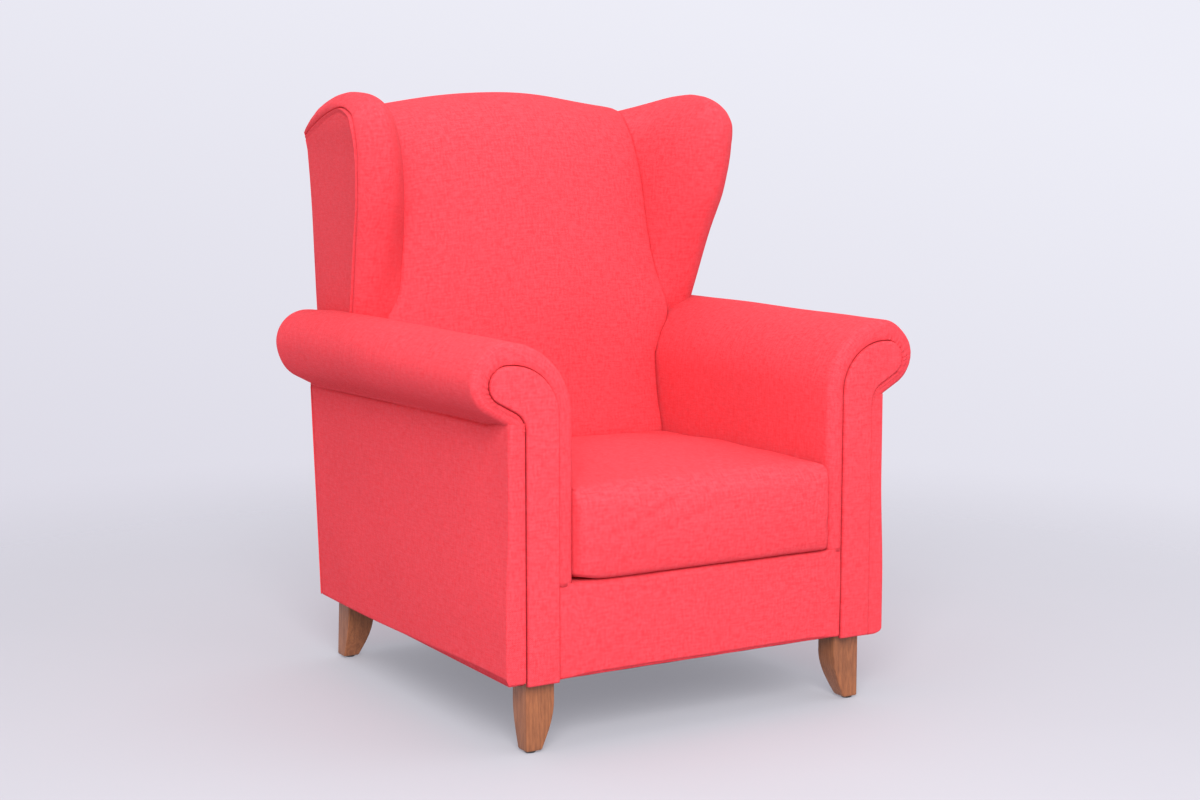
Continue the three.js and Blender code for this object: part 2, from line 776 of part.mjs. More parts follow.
/** A rounded rectangle in plan at height z, drawn in by inset, its sides drawn in by waist between the corners. */
function cushionRing(inset, waist, z, crown) {
  const radius = Math.max(cushionCornerRadius - inset, cushionInnerRadius);
  const hx = cushionHalfWidth - inset - radius;
  const hy = cushionHalfDepth - inset - radius;
  const corners = cushionCorners.map(([sx, sy, start]) => arc(
    sx * hx, sy * hy, radius, start, start + quarterTurn, cornerSteps));
  const points = corners.flatMap((corner, i) => {
    const from = corner[corner.length - 1];
    const to = corners[(i + 1) % corners.length][0];
    const between = Array.from({ length: sideSteps - 1 }, (unused, k) => (k + 1) / sideSteps);
    return [...corner, ...between.map((share) => from.clone().lerp(to, share))];
  });
  return points.map((point) => {
    const u = point.x / cushionHalfWidth;
    const v = point.y / cushionHalfDepth;
    const along = Math.min(Math.abs(u), Math.abs(v));
    const draw = 1 - (waist * (1 - along ** 2)) / cushionHalfWidth;
    const rise = crown * (1 - u * u) * (1 - v * v);
    return new THREE.Vector3(point.x * draw, cushionMidY + point.y * draw, z + rise);
  });
}

// Rings of the bottom and top as shares of the half width, and the profile of a side: the share of the seam
// radius from the corner of the box, and the shares of the height between which the side is drawn in.
const cushionRingShares = [0.9, 0.75, 0.55, 0.35, 0.18, 0.07];
const cushionSeamShare = 0.3;
const cushionSideShares = [0.3, 0.7];

/** A crowned box cushion, smaller all round by shrink. */
function cushionBody(shrink) {
  const bottom = cushionBottom + shrink;
  const top = seatTop - shrink;
  const seam = cushionSeamRadius * cushionSeamShare;
  const crown = cushionCrown - shrink;
  const ring = (inset, z, rise) => cushionRing(shrink + inset, cushionEarSpread, z, rise);
  const flat = (share, z, rise) => cushionRing(shrink + share * cushionHalfWidth, 0, z, rise);
  return loftToPoints(
    new THREE.Vector3(0, cushionMidY, bottom),
    [
      ...cushionRingShares.map((share) => flat(share, bottom, 0)),
      ring(cushionSeamRadius, bottom, 0),
      ring(seam, bottom + seam, 0),
      ring(0, bottom + cushionSeamRadius, 0),
      ...cushionSideShares.map((share) => ring(cushionDrawIn, lerp(bottom, top, share), 0)),
      ring(0, top - cushionSeamRadius, 0),
      ring(seam, top - seam, crown),
      ring(cushionSeamRadius, top, crown),
      ...[...cushionRingShares].reverse().map((share) => flat(share, top, crown)),
    ],
    new THREE.Vector3(0, cushionMidY, top + crown));
}

const zipZ = cushionBottom + cushionSideHeight / 2;

function zipStrip(grow) {
  const y1 = seatBackY;
  const y0 = y1 - cushionDrawIn - cushionEarSpread - cushionCoverThickness - 2 * gap;
  return box(-zipLength / 2 - grow, zipLength / 2 + grow, y0 - grow, y1 + grow,
    zipZ - zipHeight / 2 - grow, zipZ + zipHeight / 2 + grow);
}

function cushionCover() {
  return cut(cushionBody(0), cushionBody(cushionCoverThickness), zipStrip(gap));
}

function cushionCore() {
  return toSolid(cushionBody(cushionCoverThickness + gap));
}

function cushionZip() {
  const body = toSolid(cushionBody(cushionCoverThickness));
  return toSolid(zipStrip(0)).intersect(toSolid(cushionBody(0))).subtract(body);
}

// Inside back

// The front of the inside back in side view: the first number is a share of the rise from the cushion's top
// to the crest, the second a share of the lean from the cushion's back edge to the top of the crest.
const backFrontShares = [
  [0, 0], [0.14, 0.11], [0.4, 0.224], [0.62, 0.338], [0.77, 0.41], [0.88, 0.5], [0.95, 0.64],
  [0.985, 0.82], [1, 1],
];
const crestTangentShare = 0.55;

/** The side-view section of the inside back at x, up its front, over the crest and down its rear. */
function backSection(x, halfWidth) {
  const frontSteps = 20;
  const rearSteps = 6;
  const bottom = platformTop + 2 * gap;
  const top = crestZ(x);
  const across = 1 - (x / halfWidth) ** 2;
  const front = backFrontShares.map(([rise, lean]) => new THREE.Vector2(
    seatBackY + lean * backLean - backCrown * across * Math.sin(Math.PI * rise),
    lerp(seatTop, top, rise)));
  const rearZ = top - outsideBackDrop;
  const rear = new THREE.Vector2(rearPlaneY(rearZ) - panelDepth, rearZ);
  const crown = front[front.length - 1];
  const over = new THREE.CubicBezierCurve(
    crown,
    new THREE.Vector2(lerp(crown.x, rear.x, crestTangentShare), crown.y),
    new THREE.Vector2(rear.x, lerp(rear.y, crown.y, crestTangentShare)),
    rear);
  return [
    new THREE.Vector2(seatBackY, bottom),
    ...new THREE.SplineCurve(front).getPoints(frontSteps),
    ...over.getPoints(rearSteps).slice(1),
    new THREE.Vector2(rearPlaneY(bottom) - panelDepth, bottom),
  ];
}

/** The padded inside back before its neighbours are cut from it: side-view sections across the chair. */
function backBody() {
  const stations = 14;
  const halfWidth = postOuterX + gap;
  const rings = Array.from({ length: stations + 1 }, (unused, i) => {
    const x = lerp(-halfWidth, halfWidth, i / stations);
    return backSection(x, halfWidth).map((point) => new THREE.Vector3(x, point.x, point.y));
  });
  return loft(rings, backSection(halfWidth, halfWidth));
}

function insideBack() {
  return cut(backBody(), besidePost(), crestRail(gap), armBody(gap), mirrored(armBody(gap)),
    wingBody({ grow: gap }), mirrored(wingBody({ grow: gap })), behindPanel());
}

/** The heights of the straps that share a stretch of the posts at about the webbing's pitch. */
function strapHeights(bottom, top) {
  const lowest = bottom + webbingWidth / 2;
  const highest = Math.max(top - webbingWidth / 2, lowest);
  const spaces = Math.round((highest - lowest) / webbingPitch);
  return Array.from({ length: spaces + 1 }, (unused, i) => lerp(lowest, highest, i / Math.max(spaces, 1)));
}

/** One strap of webbing across the fronts of the posts. */
function webbing(z) {
  return toSolid(rakedBoard(-postOuterX, postOuterX, webbingDepth, webbingDepth + webbingThickness,
    z - webbingWidth / 2, z + webbingWidth / 2));
}

/** The fabric-covered panel over the back of the frame. */
function outsideBack() {
  const bottom = legHeight + gap;
  const step = underRollZ - 2 * gap;
  const lower = [
    new THREE.Vector2(armOuterX, bottom),
    new THREE.Vector2(armOuterX, step),
    new THREE.Vector2(wingRearOuterX, step),
    new THREE.Vector2(wingRearOuterX, armTopHeight),
  ];
  const outline = crestOutline(wingRearOuterX + wingRearFlare, bottom, outsideBackDrop, lower);
  return toSolid(raked(frontExtrusion(outline, -outsideBackThickness, 0)));
}

// Wing, right side

// Points of the wing's edge in side view, from below its front up and over to behind the back: the first
// number is a share of the reach forward of the back, the second a share of the height above the arm.
const wingEdgeShares = [
  [0.64, -0.45], [0.73, -0.2], [0.806, 0.026], [0.881, 0.262], [0.946, 0.42], [0.986, 0.577], [1, 0.774],
  [0.957, 0.892], [0.873, 0.958], [0.763, 0.99], [0.624, 1], [0.474, 0.985], [0.336, 0.96], [0.155, 0.916],
  [0.008, 0.835], [-0.35, 0.6],
];

// Points of the seam round the outside panel of the wing, in the same shares.
const wingSeamShares = [
  [0.5, -0.4], [0.52, 0], [0.57, 0.18], [0.65, 0.39], [0.695, 0.51], [0.72, 0.65], [0.765, 0.79], [0.748, 0.84],
  [0.7, 0.9], [0.62, 0.93], [0.48, 0.925], [0.32, 0.9], [0.1, 0.845], [-0.3, 0.7],
];

// Rings of the rolled edge as shares of its depth, and of the inner face as shares of the depth of its swell.
const wingOuterRingShares = [1, 0.5, 0.2, 0.05];
const wingInnerRingShares = [0, 0.05, 0.16, 0.34, 0.6, 1];

// The outside face of the wing splays outwards by this share of the distance in front of the back,
// at the arm and at the top of the wing.
const wingSplayShares = [0.05, 0.15];
const wingBoardSplayShare = 0.03;
const wingHubShares = [0.1, 0.2];
const wingSteps = 25;

const wingRise = (z) => (z - armTopHeight) / (wingHeight - armTopHeight);

const wingPoint = ([reach, rise]) => new THREE.Vector2(
  rearTopY - reach * wingReach, armTopHeight + rise * (wingHeight - armTopHeight));

/** A smooth side-view outline through shares, closed below the arm and behind the back. */
function wingOutline(shares) {
  const edge = new THREE.SplineCurve(shares.map(wingPoint)).getPoints(wingSteps);
  return [...edge, new THREE.Vector2(edge[edge.length - 1].x, edge[0].y)];
}

/** Moves side-view points towards the hub of the wing. */
function wingInset(points, inset) {
  const hub = wingPoint(wingHubShares);
  return points.map((point) => point.clone().add(hub.clone().sub(point).setLength(inset)));
}

/** The x of the outside face of the wing. */
function wingOuterX(y, z) {
  const rise = wingRise(z);
  const splay = lerp(wingSplayShares[0], wingSplayShares[1], rise);
  return wingRearOuterX + wingRearFlare * rise + splay * (rearTopY - y);
}

/** The whole outside of the wing: an outer face, a rolled edge and an inner face that swells inwards. */
function wingBody({ grow = 0, skin = 0 }) {
  const outline = wingOutline(wingEdgeShares);
  const quarter = (share) => Math.sqrt(1 - (1 - share) ** 2);
  const ring = (inset, place) => wingInset(outline, inset - grow).map(({ x: y, y: z }) => {
    const outer = wingOuterX(y, z) + grow - skin;
    const roll = lerp(wingRollRear, wingRollFront, (rearTopY - y) / wingReach);
    const thickness = lerp(wingThicknessLow, wingThicknessHigh, wingRise(z)) + 2 * grow;
    return new THREE.Vector3(outer - place(roll, thickness), y, z);
  });
  return loft([
    ring(wingSwellDepth, () => 0),
    ...wingOuterRingShares.map((share) => ring(share * wingRollDepth, (roll) => roll * (1 - quarter(share)))),
    ...wingInnerRingShares.map((share) => ring(share * wingSwellDepth,
      (roll, thickness) => lerp(roll, thickness, quarter(share)))),
  ], wingInset(outline, wingSwellDepth));
}

/** The wooden wing inside the padding, which stands on the arm rail in front of the post. */
function wingBoard(grow) {
  const outline = wingInset(wingOutline(wingEdgeShares), wingBoardInset - grow);
  const half = wingBoardThickness / 2 + grow;
  const side = (offset) => outline.map(({ x: y, y: z }) => new THREE.Vector3(
    wingBoardX + wingBoardSplayShare * (rearTopY - y) + offset, y, z));
  const behind = rakedBoard(0, rollOuterX, -chairDepth, padRearDepth - grow, 0, backHeight + overrun);
  const below = box(0, rollOuterX, frontY, rearTopY + overrun, 0, armRailTop + gap - grow);
  return cut(loft([side(-half), side(half)], outline), behind, below);
}

/** The space outboard of the wing board that lies within the seam of the outside panel. */
function wingPanelPrism(grow) {
  const outline = wingInset(wingOutline(wingSeamShares), -grow);
  return sideExtrusion(outline, wingBoardX, rollOuterX + overrun);
}

/** The flat fabric panel on the outside of the wing. */
function outsideWing() {
  const panel = toSolid(wingBody({})).intersect(toSolid(wingPanelPrism(0)));
  return panel.subtract(toSolid(wingBody({ skin: wingPanelThickness })))
    .subtract(toSolid(armBody(gap))).subtract(toSolid(behindPanel()));
}

function wingPad() {
  const recess = cut(wingPanelPrism(gap), wingBody({ skin: wingPanelThickness + gap }));
  return cut(wingBody({}), wingBoard(gap), besidePost(), crestRail(gap), armBody(gap), behindPanel())
    .subtract(recess);
}

// Assembly

const chair = new THREE.Group();

function add(name, solid, material) {
  const geometry = solid.isBufferGeometry ? solid : toGeometry(solid);
  const mesh = new THREE.Mesh(geometry, material);
  mesh.name = name;
  chair.add(mesh);
}

function addPair(name, solid, material) {
  const geometry = solid.isBufferGeometry ? solid : toGeometry(solid);
  add(`${name}_right`, geometry, material);
  add(`${name}_left`, mirrored(geometry), material);
}

addPair('leg_front', leg(legOuterX, frontLegY, 1, 0, boltX, frontBoltY), legWood);
addPair('leg_rear', leg(legOuterX, rearLegY, -1, rearLegSplay, boltX, rearBoltY), legWood);
addPair('glide_front', glide(legOuterX, frontLegY, 1, 0), glidePlastic);
addPair('glide_rear', glide(legOuterX, rearLegY, -1, rearLegSplay), glidePlastic);
addPair('leg_bolt_front', hangerBolt(boltX, frontBoltY), boltSteel);
addPair('leg_bolt_rear', hangerBolt(boltX, rearBoltY), boltSteel);
addPair('corner_block_front', frontBlock(), frameWood);
addPair('corner_block_rear', rearBlock(), frameWood);

add('front_seat_rail', toSolid(box(-stumpInnerX + gap, stumpInnerX - gap, frameFront, frameFrontBack,
  railBottom, railTop)), frameWood);
add('rear_seat_rail', toSolid(rakedBoard(-postInnerX + gap, postInnerX - gap, panelDepth,
  panelDepth + rearRailThickness, railBottom, railTop)), frameWood);
addPair('side_seat_rail', toSolid(sideRail()), frameWood);
addPair('back_post', toSolid(post()), frameWood);
add('back_tacking_rail', toSolid(tackingRail()), frameWood);
add('crest_rail', toSolid(crestRail(0)), frameWood);
addPair('arm_stump', toSolid(armStump(0)), frameWood);
addPair('arm_rail', toSolid(armRail(0)), frameWood);
addPair('wing_board', toSolid(wingBoard(0)), frameWood);

for (let i = 0; i < springCount; i += 1) {
  add(`seat_spring_${i + 1}`, seatSpring(i), springWire);
}
const straps = [
  ...strapHeights(webbingBottom, armRailBottom - webbingBelowRail),
  ...strapHeights(armRailTop + webbingAboveRail, postTopHeight - webbingBelowPostTop),
];
straps.forEach((z, i) => add(`back_webbing_${i + 1}`, webbing(z), webbingCloth));

add('seat_platform', seatPlatform(), fabric);
add('front_border', frontBorder(), fabric);
addPair('arm_cover', armCover(), fabric);
addPair('arm_facing', armFacing(), fabric);
addPair('outside_arm', outsideArm(), fabric);
add('inside_back', insideBack(), fabric);
add('outside_back', outsideBack(), fabric);
addPair('wing_pad', wingPad(), fabric);
addPair('outside_wing', outsideWing(), fabric);

add('cushion_cover', cushionCover(), fabric);
add('cushion_core', cushionCore(), foam);
add('cushion_zip', cushionZip(), zipTape);

const dustHoles = [[boltX, frontBoltY], [-boltX, frontBoltY], [boltX, rearBoltY], [-boltX, rearBoltY]];
add('dust_cover', cut(
  box(-frameOuterX, frameOuterX, frameFront, rearPlaneY(dustCoverBottom) - panelDepth,
    dustCoverBottom, dustCoverBottom + dustCoverThickness),
  ...dustHoles.map(([x, y]) => boltHole(x, y))), lining);

export default chair;
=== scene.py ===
import logging
import math
from dataclasses import astuple, dataclass
from enum import Enum
from functools import cache
from typing import Callable, Sequence

import bpy
import numpy as np
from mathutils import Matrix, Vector
from mathutils.geometry import delaunay_2d_cdt, tessellate_polygon


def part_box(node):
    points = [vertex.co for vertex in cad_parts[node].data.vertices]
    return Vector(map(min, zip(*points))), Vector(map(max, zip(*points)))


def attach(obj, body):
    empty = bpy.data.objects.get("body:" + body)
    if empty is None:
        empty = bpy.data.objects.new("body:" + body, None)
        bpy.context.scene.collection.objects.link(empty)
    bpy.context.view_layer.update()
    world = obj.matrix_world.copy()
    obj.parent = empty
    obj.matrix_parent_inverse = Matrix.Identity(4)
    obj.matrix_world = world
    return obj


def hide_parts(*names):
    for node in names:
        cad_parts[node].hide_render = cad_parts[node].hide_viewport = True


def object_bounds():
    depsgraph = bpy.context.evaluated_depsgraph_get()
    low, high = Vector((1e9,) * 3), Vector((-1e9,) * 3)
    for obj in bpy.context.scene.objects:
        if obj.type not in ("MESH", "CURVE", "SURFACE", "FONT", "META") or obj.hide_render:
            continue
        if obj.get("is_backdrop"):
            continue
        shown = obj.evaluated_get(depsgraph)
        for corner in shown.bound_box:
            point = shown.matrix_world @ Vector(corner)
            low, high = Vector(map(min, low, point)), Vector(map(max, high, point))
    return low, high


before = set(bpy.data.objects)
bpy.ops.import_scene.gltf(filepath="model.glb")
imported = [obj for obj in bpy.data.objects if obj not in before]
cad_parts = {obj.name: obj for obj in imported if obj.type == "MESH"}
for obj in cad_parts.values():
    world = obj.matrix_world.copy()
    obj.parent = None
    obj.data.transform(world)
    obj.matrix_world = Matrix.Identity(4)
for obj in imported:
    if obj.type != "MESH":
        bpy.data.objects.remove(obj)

LOG = logging.getLogger("fireside_chair")
Array = np.ndarray


class Side(Enum):
    """The two sides of the chair, as seen by a person who stands in front of it."""

    RIGHT = 1
    LEFT = -1

    @property
    def suffix(self) -> str:
        """The end of a piece's name on this side."""
        return self.name.lower()


class Body(Enum):
    """The bodies that pieces ride on."""

    CHAIR = "chair"
    SEAT_CUSHION = "seat_cushion"


@dataclass(frozen=True)
class ChairSizes:
    """Sizes that several pieces of the chair share, in metres."""

    front_y: float = -0.4175
    rear_top_y: float = 0.4175
    arm_inner_x: float = 0.245
    arm_outer_x: float = 0.352
    arm_top_z: float = 0.650
    back_z: float = 1.035
    wing_z: float = 1.031
    leg_height: float = 0.115
    rake: float = math.tan(math.radians(4.6))
    rake_z: float = 0.985
    panel_depth: float = 0.0043
    sweep_radius: float = 0.118
    roll_radius: float = 0.0585
    undercut_deg: float = 29.0
    border_y: float = 0.006
    hem_z: float = 0.1160
    seat_back_y: float = 0.0975
    platform_z: float = 0.268
    seat_z: float = 0.4146

    def rear_plane_y(self, z: Array) -> Array:
        """The y of the raked outside face of the back at height z."""
        return self.rear_top_y - (self.rake_z - z) * self.rake

    @property
    def roll_outer_x(self) -> float:
        """The x of the outermost point of the arm's roll."""
        return self.arm_inner_x + self.sweep_radius + self.roll_radius


SIZES = ChairSizes()


# Numbers along curves and surfaces


def stacked(*values: Array) -> Array:
    """Points from their coordinates, each stretched to the shape of the largest."""
    return np.stack(np.broadcast_arrays(*values), axis=-1)


def unit(vectors: Array) -> Array:
    """Vectors of length 1 with the same directions."""
    return vectors / np.maximum(np.linalg.norm(vectors, axis=-1, keepdims=True), 1e-12)


def smoothstep(low: float, high: float, value: Array) -> Array:
    """A smooth ramp from 0 at low to 1 at high."""
    share = np.clip((np.asarray(value, float) - low) / (high - low), 0.0, 1.0)
    return share * share * (3.0 - 2.0 * share)


def bell(value: Array, middle: float, width: float) -> Array:
    """A smooth hump, 1 high in the middle."""
    return np.exp(-(((value - middle) / width) ** 2))


def quarter(share: Array) -> Array:
    """The rise of a quarter circle from 0 at share 0 to 1 at share 1."""
    return np.sqrt(np.clip(1.0 - (1.0 - np.clip(share, 0.0, 1.0)) ** 2, 0.0, 1.0))


def roll_off(distance: Array, width: float, depth: float) -> Array:
    """The drop of a rounded edge of some width, which is the depth at the seam itself."""
    return depth * (1.0 - quarter(np.asarray(distance) / width))


def arc(centre: tuple[float, float], radius: float, start: float, end: float, count: int) -> Array:
    """Points on an arc from start to end, in degrees, both included."""
    angle = np.radians(np.linspace(start, end, count))
    return stacked(centre[0] + radius * np.cos(angle), centre[1] + radius * np.sin(angle))


def lengths_along(points: Array) -> Array:
    """Running length along a row of points."""
    return np.concatenate([[0.0], np.cumsum(np.linalg.norm(np.diff(points, axis=0), axis=1))])


def resampled(points: Array, count: int) -> Array:
    """The same row of points with even spacing."""
    run = lengths_along(points)
    return stacked(*(np.interp(np.linspace(0.0, run[-1], count), run, column) for column in points.T))


def spline(points: Sequence[Sequence[float]], per_span: int = 12) -> Array:
    """A smooth curve through points, as a dense row of points."""
    p = np.asarray(points, float)
    ends = np.vstack([2 * p[0] - p[1], p, 2 * p[-1] - p[-2]])
    t = np.linspace(0.0, 1.0, per_span, endpoint=False)[:, None]
    rows = []
    for a, b, c, d in zip(ends, ends[1:], ends[2:], ends[3:]):
        cubic = (2 * a - 5 * b + 4 * c - d) * t**2 + (3 * b - a - 3 * c + d) * t**3
        rows.append(0.5 * (2 * b + (c - a) * t + cubic))
    return np.vstack([*rows, p[-1:]])


def swell(points: Array, wavelength: float, seed: int) -> Array:
    """Smooth unevenness between about -1 and 1, the same for the same seed.

    Args:
        points: Places, with three coordinates last.
        wavelength: The usual distance between two swells.
        seed: Number that picks the pattern.

    Returns:
        One value for each place.
    """
    rng = np.random.default_rng(seed)
    waves = unit(rng.normal(size=(7, 3)))
    pitch = rng.uniform(0.7, 1.5, size=7)
    phase = rng.uniform(0.0, 2 * math.pi, size=7)
    turns = waves * (2 * math.pi / wavelength * pitch[:, None])
    return np.sin(points @ turns.T + phase).mean(axis=-1) * 2.0


def inside_distance(points: Array, loop: Array) -> Array:
    """The distance of flat points from the nearest side of a closed loop."""
    best = np.full(len(points), np.inf)
    for a, b in zip(loop, np.roll(loop, -1, axis=0)):
        way = b - a
        t = np.clip(((points - a) @ way) / max(way @ way, 1e-12), 0.0, 1.0)
        best = np.minimum(best, ((points - (a + t[:, None] * way)) ** 2).sum(axis=1))
    return np.sqrt(best)


def is_inside(points: Array, loop: Array) -> Array:
    """Whether flat points lie within a closed loop."""
    inside = np.zeros(len(points), bool)
    for (x0, y0), (x1, y1) in zip(loop, np.roll(loop, -1, axis=0)):
        crosses = (y0 > points[:, 1]) != (y1 > points[:, 1])
        slope = (x1 - x0) / (y1 - y0) if y1 != y0 else 0.0
        inside ^= crosses & (points[:, 0] < x0 + (points[:, 1] - y0) * slope)
    return inside


def inset_loop(loop: Array, inset: float) -> Array:
    """A closed loop moved inwards along its own normals."""
    ahead = np.roll(loop, -1, axis=0)
    along = unit(ahead - np.roll(loop, 1, axis=0))
    turn = np.sign(np.sum(loop[:, 0] * ahead[:, 1] - loop[:, 1] * ahead[:, 0]))
    return loop + stacked(-along[:, 1], along[:, 0]) * turn * inset


def grid_normals(grid: Array) -> Array:
    """Unit normals of rows by columns of points."""
    return unit(np.cross(np.gradient(grid, axis=1), np.gradient(grid, axis=0)))


def mirrored(points: Array, side: Side) -> Array:
    """The points of a right-hand piece on the given side."""
    return points * np.array([side.value, 1.0, 1.0])


# Meshes


def read(items: bpy.types.bpy_prop_collection, key: str, width: int, kind: type = float) -> Array:
    """One property of all items, as rows of as many numbers as the width."""
    values = np.zeros(len(items) * width, kind)
    items.foreach_get(key, values)
    return values.reshape(-1, width)


def lay_cloth(mesh: bpy.types.Mesh, uv: Array | None = None) -> None:
    """Lays cloth coordinates, in metres, on a mesh.

    Args:
        mesh: The mesh.
        uv: A pair for each point, or None to lay them flat by the way that each face looks.
    """
    corners = read(mesh.loops, "vertex_index", 1, np.int32).ravel()
    if uv is None:
        normals = read(mesh.polygons, "normal", 3)
        totals = read(mesh.polygons, "loop_total", 1, np.int32).ravel()
        facing = np.repeat(np.abs(normals).argmax(axis=1), totals)
        x, y, z = read(mesh.vertices, "co", 3)[corners].T
        pairs = stacked(np.where(facing == 0, y, x), np.where(facing == 2, y, z))
    else:
        pairs = np.asarray(uv, float)[corners]
    layer = mesh.uv_layers.get("cloth") or mesh.uv_layers.new(name="cloth")
    layer.data.foreach_set("uv", pairs.astype(np.float32).ravel())


def mesh_object(name: str, points: Array, faces: Sequence, uv: Array | None = None) -> bpy.types.Object:
    """Makes a smooth object from points and faces, linked to the scene.

    Args:
        name: Name of the piece.
        points: Rows of three coordinates in metres.
        faces: Corners of each face.
        uv: Cloth coordinates of each point, or None.

    Returns:
        The new object.
    """
    mesh = bpy.data.meshes.new(name)
    mesh.from_pydata(np.asarray(points, float).tolist(), [], [list(face) for face in faces])
    mesh.validate()
    mesh.shade_smooth()
    obj = bpy.data.objects.new(name, mesh)
    bpy.context.scene.collection.objects.link(obj)
    lay_cloth(mesh, uv)
    return obj


def rows_to_faces(rows: int, columns: int, closed: bool, start: int = 0) -> list[tuple[int, ...]]:
    """Quads between rows of points, where closed joins the last column to the first."""
    spans = columns if closed else columns - 1
    places = [(start + i * columns, j, (j + 1) % columns) for i in range(rows - 1) for j in range(spans)]
    return [(a + j, a + k, a + columns + k, a + columns + j) for a, j, k in places]


def rim_of(index: Array) -> Array:
    """The outermost numbers of a grid of numbers, once round."""
    return np.concatenate([index[0, :-1], index[:-1, -1], index[-1, :0:-1], index[:0:-1, 0]])


def outward(name: str, points: Array, faces: list, uv: Array | None) -> bpy.types.Object:
    """Makes an object from a closed surface, turned so that its faces look out."""
    volume = 0.0
    for size in (3, 4):
        chosen = np.array([face for face in faces if len(face) == size], int).reshape(-1, size)
        for i in range(1, size - 1):
            across = np.cross(points[chosen[:, i]], points[chosen[:, i + 1]])
            volume += float((points[chosen[:, 0]] * across).sum())
    if volume < 0.0:
        faces = [tuple(reversed(face)) for face in faces]
    return mesh_object(name, points, faces, uv)


def closed_loft(name: str, rings: Array, uv: Array | None = None,
                flat_ends: bool = False) -> bpy.types.Object:
    """Skins closed rings and closes both ends.

    Args:
        name: Name of the piece.
        rings: Points as rings by points by three.
        uv: Cloth coordinates as rings by points by two, or None.
        flat_ends: Closes the ends with flat caps of any outline, and not to their middle points.

    Returns:
        The new object.
    """
    count, size = rings.shape[:2]
    points = rings.reshape(-1, 3)
    faces = rows_to_faces(count, size, True)
    uv = None if uv is None else uv.reshape(-1, 2)
    last_ring = (count - 1) * size
    if flat_ends:
        for start, ring, step in ((0, rings[0], -1), (last_ring, rings[-1], 1)):
            for triangle in tessellate_polygon([[Vector(point) for point in ring]]):
                faces.append(tuple(start + i for i in sorted(triangle)[::step]))
        return outward(name, points, faces, uv)
    first = count * size
    for j in range(size):
        k = (j + 1) % size
        faces += [(first, k, j), (first + 1, last_ring + j, last_ring + k)]
    if uv is not None:
        uv = np.vstack([uv, uv[:size].mean(axis=0), uv[-size:].mean(axis=0)])
    return outward(name, np.vstack([points, rings[0].mean(axis=0), rings[-1].mean(axis=0)]), faces, uv)


def padded_shell(name: str, face: Array, back: Array, uv: Array | None = None) -> bpy.types.Object:
    """Joins a face and a back round their rims.

    Args:
        name: Name of the piece.
        face: Points of the face as rows by columns by three.
        back: Points of the back in the same order.
        uv: Cloth coordinates as rows by columns by two, or None.

    Returns:
        The new object.
    """
    rows, columns = face.shape[:2]
    count = rows * columns
    faces = rows_to_faces(rows, columns, False)
    faces += [tuple(reversed(quad)) for quad in rows_to_faces(rows, columns, False, count)]
    rim = rim_of(np.arange(count).reshape(rows, columns)).tolist()
    faces += [(b, a, a + count, b + count) for a, b in zip(rim, rim[1:] + rim[:1])]
    both = None if uv is None else np.vstack([uv.reshape(-1, 2)] * 2)
    return outward(name, np.vstack([face.reshape(-1, 3), back.reshape(-1, 3)]), faces, both)


def small_blocks(name: str, middles: Array, halves: Array) -> bpy.types.Object:
    """One object of many small blocks, from their middles and half sizes."""
    signs = np.array([(-1, -1, -1), (1, -1, -1), (1, 1, -1), (-1, 1, -1),
                      (-1, -1, 1), (1, -1, 1), (1, 1, 1), (-1, 1, 1)])
    sides = ((0, 3, 2, 1), (4, 5, 6, 7), (0, 1, 5, 4), (1, 2, 6, 5), (2, 3, 7, 6), (3, 0, 4, 7))
    points = np.asarray(middles)[:, None] + signs * np.asarray(halves)[:, None]
    faces = [tuple(8 * block + i for i in side) for block in range(len(middles)) for side in sides]
    return mesh_object(name, points.reshape(-1, 3), faces)


@dataclass(frozen=True)
class EdgeShape:
    """The rounded edge of a tacked or sewn panel, in metres."""

    width: float
    depth: float
    crown: float
    crown_width: float
    thickness: float


RIM_SPACING = 0.004
RIM_SHARES = (0.12, 0.35, 0.65, 1.0)


